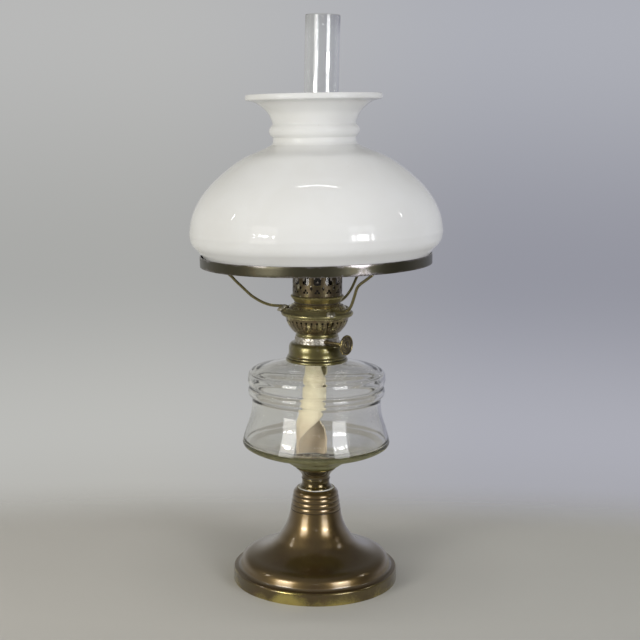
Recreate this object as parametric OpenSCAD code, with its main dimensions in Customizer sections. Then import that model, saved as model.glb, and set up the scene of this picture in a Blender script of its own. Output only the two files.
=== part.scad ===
// Kerosene table lamp: brass foot and stem, glass font, round-wick burner,
// tall chimney, and an opal shade on a ring with three arms.
// Millimetres, +Z up, origin at the middle of the foot's underside.

/* [Foot] */
// Radius of the foot
foot_r = 87.4; // [75:0.1:110]
// Height of the foot, up to its mouth
foot_h = 99.2; // [82:0.1:120]
// Height of the upright band at the edge
foot_band_h = 12.4; // [8:0.1:16]
// Width of the ledge between the band and the flare's rounded edge
foot_ledge_w = 7.8; // [3:0.1:12]
// Width of the edge that is turned in underneath
foot_rim_w = 6; // [3:0.1:12]
// Radius where the flare meets the beads
foot_neck_r = 26.7; // [22.5:0.1:33]
// Number of beads round the neck
foot_beads = 3; // [1:1:4]
// Height of one bead
foot_bead_h = 5.2; // [4:0.1:5.6]
// How far a bead stands out
foot_bead_out = 0.9; // [0.2:0.1:1]
// Radius of the mouth that holds the stem
foot_mouth_r = 18.6; // [17.5:0.1:20]
// Thickness of the spun brass
foot_wall = 1.2; // [0.8:0.1:1.6]

/* [Stem] */
// Height of the stem from the foot to the rim of its cup
stem_h = 22.8; // [19:0.1:34]
// Radius of the stem at its waist
stem_waist_r = 14.7; // [14:0.1:17]
// Radius of the cup under the font
stem_cup_r = 21.8; // [18.5:0.1:26]
// Radius of the tail that is set in the foot
stem_tail_r = 9; // [6:0.1:12]
// Length of the tail
stem_tail_l = 42; // [20:0.1:60]
// Thickness of plaster between glass and brass
plaster_gap = 1.4; // [0.8:0.1:2]

/* [Font] */
// Largest radius of the font
font_r = 77.7; // [74:0.1:93]
// Height of the font from the cup to the collar
font_h = 114.5; // [95:0.1:138]
// Radius of the waist under the ribs
font_waist_r = 67.8; // [60:0.1:70]
// Radius of the two ribs
font_rib_r = 72.3; // [71.5:0.1:78]
// Radius of the shoulder's edge
font_shoulder_r = 66.6; // [58:0.1:68]
// Thickness of the glass
font_wall = 4; // [3:0.1:5]
// Bore of the font's mouth, as a radius
font_mouth_r = 22.2; // [22:0.1:22.6]
// Height of the font's neck inside the collar
font_neck_h = 11.3; // [9:0.1:12]
// Largest radius of the peg that stands in the stem
peg_r = 13.2; // [11:0.1:14]
// Length of the peg
peg_l = 18; // [14:0.1:18.5]

/* [Collar] */
// Height of the collar
collar_h = 19.9; // [17:0.1:24]
// Radius of the collar's flange
collar_flange_r = 32.6; // [31:0.1:38]
// Radius of the collar's wall
collar_wall_r = 29.5; // [28:0.1:31]
// Thickness of the collar's wall
collar_wall = 1.4; // [0.8:0.1:1.8]
// Bore that the burner screws into, as a radius
collar_bore_r = 21.8; // [20:0.1:22]

/* [Burner body] */
// Radius of the tinned ring on the collar
base_ring_r = 23.4; // [22.5:0.1:24]
// Height of the tinned ring
base_ring_h = 6.4; // [6:0.1:8]
// Depth that the burner reaches into the collar
base_tail_l = 9.6; // [7:0.1:10]
// Height of the brass band between ring and basket
base_band_h = 3.6; // [2:0.1:5]
// Largest radius of the air basket
basket_r = 33.2; // [31:0.1:39]
// Height of the air basket
basket_h = 17.2; // [14.5:0.1:20]
// Number of keyholes round the basket
keyholes = 36; // [24:1:44]
// Radius of a keyhole's round end
keyhole_r = 1.15; // [0.6:0.05:1.3]
// Height of the deck from the basket to its neck
deck_h = 14.4; // [12:0.1:17]
// Radius of the deck's neck, which carries the gallery
deck_neck_r = 23.2; // [22:0.1:23.8]
// Height of the deck's neck
deck_neck_h = 4.8; // [4:0.1:8]
// Thickness of the burner's sheet brass
sheet = 0.6; // [0.4:0.05:0.8]

/* [Gallery] */
// Radius of the gallery's wall
gallery_r = 25.8; // [25.6:0.1:27.5]
// Height of the gallery from its seat to the tips
gallery_h = 38; // [33:0.1:45]
// Radius of the gallery's lip
gallery_lip_r = 27.9; // [27.4:0.1:30]
// Number of prongs
prongs = 13; // [9:1:14]
// Width of a gap between two prongs
prong_gap = 7.6; // [4:0.1:8]

/* [Wick and winder] */
// Flat width of the wick
wick_w = 57; // [54:0.5:58]
// Thickness of the wick
wick_t = 2.2; // [1.6:0.1:2.4]
// Radius of the wick's curl in the font, at its middle
wick_curl_r = 15.3; // [13:0.1:17.5]
// Travel of the wick
wick_travel = 9; // [5:0.1:9.5]
// Outer radius of the wick tube
tube_r = 12; // [11.8:0.1:12.4]
// Thickness of the tubes
tube_wall = 0.5; // [0.3:0.05:0.6]
// Direction of the winder's shaft, in degrees from +X
winder_angle = -38; // [-60:1:-20]
// Distance of the shaft from the lamp's axis
winder_offset = 10.3; // [9.8:0.1:10.8]
// Radius of the shaft
shaft_r = 1.5; // [1:0.1:1.6]
// Distance of the knob along the shaft
knob_reach = 46.8; // [36:0.1:56]
// Radius of the knob
knob_r = 10.4; // [8:0.1:12]
// Thickness of the knob
knob_t = 1.8; // [1.4:0.1:3]
// Radius of the spiked wheels
wheel_r = 4.2; // [3.6:0.1:4.3]
// Number of spiked wheels
wheels = 4; // [2:1:4]
// Number of spikes on a wheel
spikes = 12; // [8:1:14]

/* [Chimney] */
// Radius of the chimney's tube
chimney_r = 17.65; // [15:0.05:21]
// Height of the chimney
chimney_h = 285.4; // [240:0.1:342]
// Radius of the chimney's base
chimney_base_r = 24.2; // [22.6:0.1:24.4]
// Height of the wide base
chimney_base_h = 25; // [20:0.1:30]
// Radius of the pinch above the flame
chimney_pinch_r = 15.6; // [14:0.1:18]
// Thickness of the chimney's glass
chimney_wall = 1.8; // [1.2:0.1:2.4]
// Lean of the chimney in its gallery, in degrees
chimney_lean = 0.65; // [0:0.1:1]

/* [Shade holder] */
// Radius of the hub's flange
hub_r = 37.8; // [37:0.1:44]
// Height of the hub
hub_h = 8.4; // [7:0.1:9]
// Radius of the hub's bore
hub_bore_r = 31.6; // [31:0.1:32]
// Radius of an arm's wire
arm_r = 1.5; // [1.2:0.1:2]
// Directions of the arms, in degrees from +X
arm_angles = [178, -62, 57];
// Height of the ring above the hub's lower edge
ring_rise = 54; // [46:0.1:64]
// Height of the ring's band
ring_h = 10.7; // [8:0.1:13]
// Thickness of the ring's band and ledge
ring_wall = 1.2; // [0.8:0.1:1.6]
// Width of the ledge that carries the shade
ledge_w = 8; // [6:0.1:12]
// Lean of the ring and the shade, which the arms leave, in degrees
shade_lean = 1.5; // [0:0.1:3]

/* [Shade] */
// Radius of the shade's fitter
fitter_r = 117; // [98:0.1:140]
// Largest radius of the shade
shade_r = 130.7; // [126:0.1:157]
// Height of the shade
shade_h = 170.4; // [142:0.1:204]
// Radius of the shade's neck
shade_neck_r = 42.5; // [36:0.1:51]
// Radius of the bead on the neck
shade_bead_r = 46.4; // [46:0.1:53]
// Radius of the shade's rim
shade_rim_r = 69.8; // [59:0.1:83]
// Thickness of the opal glass
shade_wall = 3.8; // [3:0.1:4.5]
// How far the shade has slipped to the right on its ledge
shade_slip = 0.7; // [0:0.1:0.9]

/* [Fits] */
// Clearance round a part that lifts off
lift_gap = 0.3; // [0.2:0.05:0.5]
// Running clearance of the shaft, as a radius
running_gap = 0.05; // [0.02:0.01:0.1]

/* [Hidden] */
$fn = 96;

// Heights of the seats, from the table up
plaster_top = foot_h + 0.2;
font_z = plaster_top + stem_h;
collar_z = font_z + font_h;
burner_z = collar_z + collar_h;
band_z = burner_z + base_ring_h;
basket_z = band_z + base_band_h;
deck_z = basket_z + basket_h;
neck_z = deck_z + deck_h;
sieve_z = neck_z + deck_neck_h;
chimney_z = sieve_z + sheet + 0.6;
hub_z = deck_z + 1;
ring_z = hub_z + ring_rise;
ledge_z = ring_z + 1;
shade_z = ledge_z + ring_wall + lift_gap / 2;

// Burner parts that take their size from their neighbours
tube_top = sieve_z + 14.2;
tube_foot = burner_z - 7;
floor_z = burner_z - 5.6;
floor_t = 1;
wick_r = tube_r - tube_wall - 0.4 - wick_t / 2;
draught_r = wick_r - wick_t / 2 - 0.4;
bush_r = shaft_r + 1.1;
shaft_z = burner_z + max(base_ring_h / 2 - 0.3, bush_r + 0.3);
wheel_notch_z = shaft_z + wheel_r + 2.6;
inlet_z = deck_z - 1;
inlet_h = 14;
inlet_w = 4;
seam_angle = -50;
base_ring_bore_r = base_ring_r - 2.8;
ring_r = fitter_r + ring_wall + 1.8;
hub_seat_r = hub_bore_r - lift_gap;

brass = [0.58, 0.49, 0.28];
old_brass = [0.36, 0.31, 0.19];
tinned = [0.74, 0.73, 0.69];
plaster = [0.9, 0.89, 0.85];
clear_glass = [0.85, 0.9, 0.88, 0.35];
opal_glass = [0.95, 0.94, 0.9];
cotton = [0.85, 0.79, 0.64];

// Curves

// Point a share t of the way from b to c on the smooth curve through a, b, c and d
function curve_point(a, b, c, d, t) =
    (2 * b + (c - a) * t + (2 * a - 5 * b + 4 * c - d) * t * t + (3 * b - a - 3 * c + d) * t * t * t) / 2;

// Smooth curve through the points p, with n steps from each point to the next
function smooth(p, n = 4) = [
    for (i = [0 : len(p) - 2])
        for (k = [0 : n - 1])
            curve_point(p[max(i - 1, 0)], p[i], p[i + 1], p[min(i + 2, len(p) - 1)], k / n),
    p[len(p) - 1]
];

// Outline given as shares of the way from corner a to corner b
function stretch(shares, a, b) = [for (s = shares) [a[0] + (b[0] - a[0]) * s[0], a[1] + (b[1] - a[1]) * s[1]]];

function unit(v) = v / norm(v);
function left_of(v) = [-v[1], v[0]];
function reverse(p) = [for (i = [len(p) - 1 : -1 : 0]) p[i]];
function without_first(p) = [for (i = [1 : len(p) - 1]) p[i]];

// Path moved by t to the left of its direction, with its corners kept sharp
function beside(p, t) = [
    for (i = [0 : len(p) - 1])
        let (
            before = i > 0 ? unit(p[i] - p[i - 1]) : unit(p[1] - p[0]),
            after = i < len(p) - 1 ? unit(p[i + 1] - p[i]) : before,
            side = unit(left_of(before) + left_of(after))
        )
        p[i] + side * t / (side * left_of(before))
];

// Smooth step from 0 at a to 1 at b
function ease(a, b, x) = let (s = min(max((x - a) / (b - a), 0), 1)) s * s * (3 - 2 * s);

// Point p turned by the angle about the Y direction through height z
function leaned(p, z, angle) = [
    p[0] * cos(angle) + (p[2] - z) * sin(angle),
    p[1],
    z - p[0] * sin(angle) + (p[2] - z) * cos(angle)
];

module turned(outline) rotate_extrude() polygon(outline);

// Turned sheet of thickness t to the left of the path
module turned_sheet(path, t) turned(concat(path, reverse(beside(path, t))));

module lean(z, angle) translate([0, 0, z]) rotate([0, angle, 0]) translate([0, 0, -z]) children();

// The children n times round the axis, the first at angle start
module around(n, start = 0) {
    for (i = [0 : n - 1])
        rotate([0, 0, start + i * 360 / n]) children();
}

// Cutter through a wall at radius r and height z, along the local X direction
module punch(r, z) translate([r - 4, 0, z]) rotate([90, 0, 90]) linear_extrude(8) children();

// The winder's own frame: its shaft runs along +Z from the point nearest to the lamp's axis
module along_shaft() {
    rotate([0, 0, winder_angle])
        translate([0, -winder_offset, shaft_z])
            rotate([0, 90, 0]) children();
}

// Foot and stem

foot_flare = [
    [1, 0], [1.003, 0.044], [0.992, 0.092], [0.962, 0.137], [0.913, 0.177], [0.8375, 0.206], [0.701, 0.234],
    [0.569, 0.275], [0.442, 0.334], [0.35, 0.394], [0.274, 0.458], [0.2025, 0.545], [0.131, 0.64],
    [0.068, 0.755], [0.027, 0.88], [0, 1]
];
foot_shoulder_h = 7.4;
foot_bead_z = foot_h - foot_shoulder_h - foot_beads * foot_bead_h;
foot_top_r = foot_neck_r - 3;

// Height z and the radius of the beads there, one bead after another
foot_bead_line = [
    for (i = [0 : foot_beads - 1])
        for (t = [0 : 0.2 : 0.8])
            let (share = (i + t) / foot_beads)
            [
                foot_neck_r - 0.4 + (foot_top_r - foot_neck_r + 0.4) * share + foot_bead_out * sin(180 * t),
                foot_bead_z + foot_beads * foot_bead_h * share
            ]
];

foot_line = concat(
    [[foot_r, 0], [foot_r, foot_band_h], [foot_r - 0.8, foot_band_h + 0.8]],
    smooth(stretch(foot_flare, [foot_neck_r, foot_band_h + 2], [foot_r - foot_ledge_w, foot_bead_z - 0.5]), 3),
    foot_bead_line,
    smooth([
        [foot_top_r, foot_h - foot_shoulder_h],
        [foot_top_r + 0.3, foot_h - foot_shoulder_h + 1.2],
        [foot_top_r - 0.3, foot_h - 4.1],
        [foot_top_r - 1.8, foot_h - 2],
        [foot_mouth_r + 2, foot_h - 0.6],
        [foot_mouth_r + 1, foot_h]
    ], 3)
);
foot_inside = without_first(beside(foot_line, foot_wall));

module foot() color(old_brass) turned(concat(
    foot_line,
    [[foot_mouth_r, foot_h - foot_wall / 2]],
    reverse(foot_inside),
    [
        [foot_r - foot_wall, foot_wall],
        [foot_r - foot_rim_w, foot_wall],
        [foot_r - foot_rim_w, 0]
    ]
));

// Plaster that fills the foot, level with its turned-in edge
module foot_plaster() color(plaster) turned(concat(
    [[0, 0], [foot_r - foot_rim_w, 0], [foot_r - foot_rim_w, foot_wall], [foot_r - foot_wall, foot_wall]],
    foot_inside,
    [
        [foot_mouth_r, foot_h - foot_wall / 2],
        [foot_mouth_r, plaster_top],
        [stem_tail_r, plaster_top],
        [stem_tail_r, plaster_top - stem_tail_l],
        [0, plaster_top - stem_tail_l]
    ]
));

stem_cup_line = [[0, 0], [0, 0.12], [0.1, 0.34], [0.34, 0.56], [0.63, 0.76], [0.89, 0.91], [1, 1]];
socket_r = peg_r + plaster_gap;
socket_foot_r = peg_r * 0.68 + plaster_gap;
socket_z = font_z - peg_l - plaster_gap;

module stem() color(brass) turned(concat(
    [
        [0, plaster_top - stem_tail_l],
        [stem_tail_r, plaster_top - stem_tail_l],
        [stem_tail_r, plaster_top]
    ],
    smooth([
        [foot_mouth_r - 1.4, plaster_top],
        [foot_mouth_r - 1.9, plaster_top + 1.2],
        [stem_waist_r + 0.6, plaster_top + 3],
        [stem_waist_r, plaster_top + 5.6]
    ], 3),
    [
        [stem_waist_r, plaster_top + 9.4],
        [stem_waist_r + 0.5, plaster_top + 9.7],
        [stem_waist_r + 0.5, plaster_top + 10.3]
    ],
    smooth(stretch(stem_cup_line, [stem_waist_r, plaster_top + 10.6], [stem_cup_r, font_z - 0.6]), 3),
    [
        [stem_cup_r - 0.4, font_z],
        [socket_r, font_z],
        [socket_foot_r, socket_z],
        [0, socket_z]
    ]
));

module stem_plaster() color(plaster) turned([
    [0, socket_z],
    [socket_foot_r, socket_z],
    [socket_r, font_z],
    [peg_r, font_z],
    [peg_r * 0.68, font_z - peg_l],
    [0, font_z - peg_l]
]);

// Font: heights are shares of its height, radii come from its named radii

function font_at(r, share) = [r, font_z + font_h * share];

// Height of the font's floor inside, as a share of the font's height
font_floor = 0.075;

font_foot_line = [
    [stem_cup_r - 0.6, 0], [24.5, 0.012], [28, 0.033], [31.9, 0.056], [35.3, 0.076], [40.5, 0.098], [46.5, 0.118]
];
font_body_line = [
    font_at(46.5, 0.118), font_at(0.69 * font_r, 0.136), font_at(0.775 * font_r, 0.152),
    font_at(0.857 * font_r, 0.171), font_at(0.925 * font_r, 0.193), font_at(0.966 * font_r, 0.21),
    font_at(0.989 * font_r, 0.224), font_at(font_r, 0.243), font_at(font_r - 0.5, 0.266),
    font_at(font_waist_r + 8.2, 0.309), font_at(font_waist_r + 6.2, 0.367), font_at(font_waist_r + 3.5, 0.435),
    font_at(font_waist_r + 1.7, 0.4925), font_at(font_waist_r + 0.6, 0.549), font_at(font_waist_r, 0.605),
    font_at(font_waist_r, 0.668)
];
font_rib_line = [
    font_at(font_waist_r + 0.8, 0.674), font_at(font_rib_r - 1.2, 0.692), font_at(font_rib_r - 0.4, 0.718),
    font_at(font_rib_r - 0.9, 0.744), font_at(font_rib_r - 2.4, 0.767), font_at(font_rib_r - 0.8, 0.787),
    font_at(font_rib_r, 0.815), font_at(font_rib_r, 0.85), font_at(font_rib_r - 0.4, 0.876),
    font_at(font_rib_r - 1.7, 0.9), font_at(font_shoulder_r + 1.6, 0.915), font_at(font_shoulder_r, 0.921)
];
font_inner_line = [
    font_at(font_mouth_r, 0.985), font_at(30, 0.955), font_at(0.8 * font_shoulder_r, 0.906),
    font_at(font_shoulder_r - 2.6, 0.874), font_at(font_rib_r - font_wall - 0.8, 0.83),
    font_at(font_rib_r - font_wall - 1, 0.76), font_at(font_waist_r - font_wall + 1.6, 0.68),
    font_at(font_waist_r - font_wall, 0.62), font_at(font_waist_r - font_wall + 0.3, 0.55),
    font_at(font_waist_r - font_wall + 3, 0.435), font_at(font_waist_r - font_wall + 5.8, 0.36),
    font_at(font_waist_r - font_wall + 7.8, 0.3), font_at(font_r - font_wall - 1.8, 0.268),
    font_at(font_r - font_wall - 4.9, 0.243), font_at(0.835 * font_r, 0.222), font_at(0.76 * font_r, 0.2),
    font_at(0.66 * font_r, 0.178), font_at(0.54 * font_r, 0.151), font_at(0.43 * font_r, 0.118),
    font_at(0.31 * font_r, font_floor + 0.006), font_at(0.16 * font_r, font_floor + 0.002)
];

module font() color(clear_glass) turned(concat(
    [[0, font_z - peg_l], [peg_r * 0.68, font_z - peg_l], [peg_r, font_z]],
    smooth([for (p = font_foot_line) font_at(p[0], p[1])], 3),
    without_first(smooth(font_body_line, 3)),
    smooth(font_rib_line, 3),
    smooth([
        font_at(font_shoulder_r - 0.6, 0.9225), font_at(0.86 * font_shoulder_r, 0.942),
        font_at(0.68 * font_shoulder_r, 0.972), font_at(collar_flange_r, 1)
    ], 3),
    [
        [collar_wall_r - collar_wall - plaster_gap, collar_z],
        [collar_wall_r - collar_wall - plaster_gap, collar_z + font_neck_h],
        [font_mouth_r, collar_z + font_neck_h]
    ],
    smooth(font_inner_line, 3),
    [font_at(0, font_floor)]
));

// Collar

collar_seat_z = collar_z + font_neck_h + 1;

module collar() color(brass) turned(concat(
    [[collar_wall_r - collar_wall, collar_z], [collar_flange_r - 0.4, collar_z], [collar_flange_r, collar_z + 1.8]],
    smooth([
        [collar_flange_r - 0.8, collar_z + 3.8], [collar_wall_r + 1.8, collar_z + 4.8],
        [collar_wall_r + 0.4, collar_z + 6.4], [collar_wall_r, collar_z + 9]
    ], 3),
    smooth([
        [collar_wall_r - 0.2, burner_z - 4.8], [collar_wall_r - 0.9, burner_z - 2.4],
        [collar_wall_r - 2.1, burner_z - 0.8], [collar_wall_r - 3.8, burner_z]
    ], 3),
    [
        [collar_bore_r, burner_z],
        [collar_bore_r, collar_seat_z],
        [collar_wall_r - collar_wall, collar_seat_z]
    ]
));

module collar_plaster() color(plaster) turned([
    [collar_wall_r - collar_wall, collar_z + 0.6],
    [collar_wall_r - collar_wall, collar_seat_z],
    [font_mouth_r + 0.4, collar_seat_z],
    [font_mouth_r + 0.4, collar_z + font_neck_h],
    [collar_wall_r - collar_wall - plaster_gap, collar_z + font_neck_h],
    [collar_wall_r - collar_wall - plaster_gap, collar_z + 0.6]
]);

// Burner body

module base_ring() color(tinned) difference() {
    turned([
        [collar_bore_r - lift_gap, burner_z],
        [base_ring_r, burner_z],
        [base_ring_r - 0.1, burner_z + 1],
        [base_ring_r - 0.5, band_z - 0.5],
        [base_ring_r - 0.9, band_z],
        [base_ring_bore_r, band_z],
        [base_ring_bore_r, floor_z + floor_t],
        [tube_r, floor_z + floor_t],
        [tube_r, floor_z],
        [collar_bore_r - lift_gap - 1.2, floor_z],
        [collar_bore_r - lift_gap - 1.2, burner_z - base_tail_l],
        [collar_bore_r - lift_gap, burner_z - base_tail_l]
    ]);
    along_shaft() {
        cylinder(r = bush_r, h = base_ring_r + 5);
        translate([0, 0, -shaft_end_reach - 0.2]) cylinder(r = shaft_r + running_gap, h = base_ring_r);
    }
}

module base_band() color(brass) turned([
    [base_ring_r - 0.8, band_z],
    [base_ring_r - 0.9, band_z + 0.9],
    [base_ring_r - 1.5, band_z + 0.6 * base_band_h],
    [base_ring_r - 1.9, basket_z],
    [base_ring_bore_r, basket_z],
    [base_ring_bore_r, band_z]
]);

basket_line = concat(
    smooth(stretch(
        [[0, 0], [0.22, 0.05], [0.48, 0.24], [0.74, 0.49], [0.9, 0.735], [1, 1]],
        [base_ring_r - 1.9, basket_z], [basket_r, deck_z - 0.5]
    ), 3),
    [[basket_r, deck_z]]
);

// Air basket, with a keyhole slot for each step round it
module air_basket() color(brass) difference() {
    turned_sheet(basket_line, sheet);
    around(keyholes) {
        punch(basket_r - 1.4, basket_z + 0.79 * basket_h) circle(r = keyhole_r, $fn = 20);
        punch(basket_r - 3.4, basket_z + 0.6 * basket_h) square([0.75, 0.38 * basket_h], center = true);
    }
}

deck_line = [
    [basket_r, deck_z], [basket_r, deck_z + 2.2], [hub_seat_r - 0.2, deck_z + 8.3],
    [deck_neck_r + 1.2, neck_z - 0.7], [deck_neck_r + 0.3, neck_z - 0.1],
    [deck_neck_r, neck_z + 0.6], [deck_neck_r, sieve_z]
];

module deck() color(brass) turned_sheet(deck_line, sheet);

// Perforated plate between the wick tube and the deck's neck
module sieve_plate() color(brass) difference() {
    turned([[tube_r, sieve_z], [deck_neck_r, sieve_z], [deck_neck_r, sieve_z + sheet], [tube_r, sieve_z + sheet]]);
    for (row = [0 : 1])
        around(24 + 6 * row, row * 6)
            translate([tube_r + 3.2 + 3.6 * row, 0, sieve_z - 1]) cylinder(r = 1, h = sheet + 2, $fn = 20);
}

// Wick tube, cut away for the spiked wheels and slit for the air inlet
module wick_tube() color(brass) difference() {
    turned([[tube_r - tube_wall, tube_foot], [tube_r, tube_foot], [tube_r, tube_top], [tube_r - tube_wall, tube_top]]);
    rotate([0, 0, winder_angle])
        translate([-tube_r - 1, -tube_r - 1, tube_foot - 1])
            cube([2 * tube_r + 2, tube_r + 1 - wheel_face + 0.6, wheel_notch_z - tube_foot + 1]);
    rotate([0, 0, seam_angle])
        translate([0, -inlet_w / 2, inlet_z]) cube([tube_r + 1, inlet_w, inlet_h]);
}

// Inner tube that feeds air to the middle of the flame through a side inlet
module draught_tube() color(brass) difference() {
    union() {
        translate([0, 0, inlet_z]) cylinder(r = draught_r, h = tube_top - 0.4 - inlet_z);
        rotate([0, 0, seam_angle])
            translate([0, -inlet_w / 2, inlet_z]) cube([tube_r + 0.8, inlet_w, inlet_h]);
    }
    translate([0, 0, inlet_z + tube_wall]) cylinder(r = draught_r - tube_wall, h = tube_top);
    rotate([0, 0, seam_angle])
        translate([0, -inlet_w / 2 + tube_wall, inlet_z + tube_wall])
            cube([tube_r + 2, inlet_w - 2 * tube_wall, inlet_h - 2 * tube_wall]);
}

// Gallery: a lipped ring whose wall is pierced with trefoils and diamonds below its prongs

gallery_wall_z = neck_z + 8.4;

module trefoil() {
    translate([0, 1.4]) circle(r = 1.2, $fn = 20);
    for (x = [-1.65, 1.65])
        translate([x, -0.85]) circle(r = 1.2, $fn = 20);
    polygon([[-1.4, -0.3], [0, 1.6], [1.4, -0.3], [0, 0.1]]);
}

module gallery() color(brass) difference() {
    turned([
        [deck_neck_r + 0.15, neck_z + 1.2],
        [deck_neck_r + 0.7, neck_z + 1.2],
        [gallery_lip_r - 0.4, neck_z + 6],
        [gallery_lip_r, neck_z + 7],
        [gallery_lip_r - 0.6, neck_z + 7.7],
        [gallery_r, gallery_wall_z],
        [gallery_r, neck_z + gallery_h - 5],
        [gallery_r + 1.1, neck_z + gallery_h],
        [gallery_r + 1.1 - sheet, neck_z + gallery_h],
        [gallery_r - sheet, neck_z + gallery_h - 5],
        [gallery_r - sheet, gallery_wall_z - 0.6],
        [gallery_lip_r - 1.5, neck_z + 7],
        [deck_neck_r + 0.15, neck_z + 2.4]
    ]);
    around(prongs, -90) {
        punch(gallery_r, gallery_wall_z) polygon([
            [-prong_gap / 2, 14.4], [-0.43 * prong_gap, 12.8], [-prong_gap / 4, 12.2], [0, 12],
            [prong_gap / 4, 12.2], [0.43 * prong_gap, 12.8], [prong_gap / 2, 14.4],
            [prong_gap / 2, gallery_h], [-prong_gap / 2, gallery_h]
        ]);
        punch(gallery_r, gallery_wall_z + 5.4) trefoil();
    }
    around(prongs, -90 + 180 / prongs)
        punch(gallery_r, gallery_wall_z + 9) polygon([[-1.6, 0], [0, -2.3], [1.6, 0], [0, 2.3]]);
}

// Winder

shaft_end_reach = sqrt(base_ring_bore_r * base_ring_bore_r - winder_offset * winder_offset) + 1.2;
bush_end = sqrt(base_ring_r * base_ring_r - winder_offset * winder_offset) + 1.6;
wheel_face = winder_offset - wheel_r - 0.3;
wheel_step = 4;

module shaft_bush() color(brass) along_shaft() difference() {
    translate([0, 0, bush_end - 5]) cylinder(r = bush_r, h = 5);
    translate([0, 0, bush_end - 6]) cylinder(r = shaft_r + running_gap, h = 7);
}

module winder_shaft() color(brass) along_shaft()
    translate([0, 0, -shaft_end_reach]) cylinder(r = shaft_r, h = shaft_end_reach + knob_reach);

module spiked_wheels() color(brass) along_shaft() {
    for (i = [0 : wheels - 1])
        translate([0, 0, (i - (wheels - 1) / 2) * wheel_step - 0.5])
            linear_extrude(1) difference() {
                polygon([
                    for (k = [0 : 2 * spikes - 1])
                        let (r = k % 2 == 0 ? wheel_r : wheel_r - 1)
                        r * [cos(k * 180 / spikes), sin(k * 180 / spikes)]
                ]);
                circle(r = shaft_r);
            }
}

// Knob: a dished disc with a raised rim, an inner ring and a riveted shaft end
module winder_knob() color(brass) along_shaft() translate([0, 0, knob_reach - knob_t]) turned([
    [shaft_r, -2.4],
    [shaft_r + 1.4, -2.4],
    [shaft_r + 1.4, 0],
    [knob_r - 0.6, 0],
    [knob_r, 0.5],
    [knob_r, knob_t],
    [knob_r - 0.8, knob_t + 0.4],
    [knob_r - 1.6, knob_t],
    [knob_r - 2, knob_t - 0.5],
    [shaft_r + 4.4, knob_t - 0.5],
    [shaft_r + 3.9, knob_t],
    [shaft_r + 3.1, knob_t],
    [shaft_r + 2.6, knob_t - 0.5],
    [shaft_r + 1.4, knob_t - 0.5],
    [shaft_r + 1, knob_t],
    [shaft_r, knob_t]
]);

// Wick: a tape curled into a loose half tube in the font and nearly closed in the burner

wick_foot = font_z + font_h * font_floor + 1.2;
wick_top = tube_top - 0.8;
wick_steps = 20;
wick_straight_z = floor_z - wick_travel - 1;
wick_drawn_h = 109.0125; // height of the loose part that the levels below are written for

// Height of a level h of the loose part, which keeps its share when the font's height changes
function wick_at(h) = wick_foot + h * (wick_straight_z - wick_foot) / wick_drawn_h;

wick_levels = concat(
    [for (h = [0 : 6 : 102]) wick_at(h)],
    [
        wick_straight_z, shaft_z - wheel_r - wick_travel - 2.4, shaft_z - wheel_r - wick_travel - 0.6,
        shaft_z + wheel_r + 0.6, shaft_z + wheel_r + 5, inlet_z - 6, wick_top
    ]
);

// How far the curl has opened at height z, from 0 in the burner to 1 at the foot
function wick_open(z) =
    0.4 * (1 - ease(wick_at(67), wick_straight_z, z)) + 0.6 * (1 - ease(wick_at(35), wick_at(61), z));
function wick_curl(z) = wick_r + (wick_curl_r - wick_r) * wick_open(z);
function wick_shift(z) = [-4.8, -2.2] * wick_open(z);

// Direction of the gap between the tape's edges: to the right under the collar, and to the left at the foot
function wick_gap(z) =
    seam_angle + 75 * (1 - ease(wick_at(73), wick_straight_z - 4, z))
    - 100 * (1 - ease(wick_at(13), wick_at(57), z));

// How far the tape may reach towards the spiked wheels at height z
function wick_limit(z) =
    let (
        dent = ease(shaft_z - wheel_r - wick_travel - 3, shaft_z - wheel_r - wick_travel - 0.6, z)
            * (1 - ease(shaft_z + wheel_r + 0.6, shaft_z + wheel_r + 6, z))
    )
    wheel_face + (1 - dent) * (2 * wick_curl_r - wheel_face);

// Point of the tape at height z, a share s of its width from one edge, out by the distance off
function wick_point(z, s, off) =
    let (
        r = wick_curl(z),
        angle = wick_gap(z) + 180 + (s - 0.5) * wick_w / r * 180 / PI,
        centre = wick_shift(z),
        p = centre + (r + off) * [cos(angle), sin(angle)],
        towards = [sin(winder_angle), -cos(winder_angle)],
        past = max(p * towards - wick_limit(z) - (off > 0 ? 0 : -wick_t), 0)
    )
    concat(p - past * towards, z);

module wick() {
    n = wick_steps + 1;
    rings = [
        for (z = wick_levels)
            concat(
                [for (i = [0 : wick_steps]) wick_point(z, i / wick_steps, wick_t / 2)],
                [for (i = [wick_steps : -1 : 0]) wick_point(z, i / wick_steps, -wick_t / 2)]
            )
    ];
    count = 2 * n;
    last = (len(wick_levels) - 1) * count;
    color(cotton) polyhedron(
        points = [for (ring = rings) for (p = ring) p],
        faces = concat(
            [
                for (k = [0 : len(wick_levels) - 2])
                    for (i = [0 : count - 1])
                        for (half = [0, 1])
                            let (a = k * count + i, b = k * count + (i + 1) % count)
                            half == 0 ? [a, a + count, b + count] : [a, b + count, b]
            ],
            [for (i = [0 : n - 2]) [i, i + 1, count - 2 - i, count - 1 - i]],
            [for (i = [0 : n - 2]) [last + count - 1 - i, last + count - 2 - i, last + i + 1, last + i]]
        )
    );
}

// Chimney

chimney_line = concat(
    [[chimney_base_r, chimney_z]],
    smooth([
        [chimney_base_r, chimney_z + chimney_base_h],
        [chimney_base_r - 1.1, chimney_z + chimney_base_h + 3],
        [chimney_pinch_r + 3.4, chimney_z + chimney_base_h + 7.4],
        [chimney_pinch_r + 0.6, chimney_z + chimney_base_h + 10.8],
        [chimney_pinch_r, chimney_z + chimney_base_h + 14],
        [chimney_pinch_r + 0.5, chimney_z + chimney_base_h + 19],
        [chimney_r - 0.4, chimney_z + chimney_base_h + 27],
        [chimney_r, chimney_z + chimney_base_h + 36]
    ], 3),
    [[chimney_r, chimney_z + chimney_h]]
);

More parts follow.
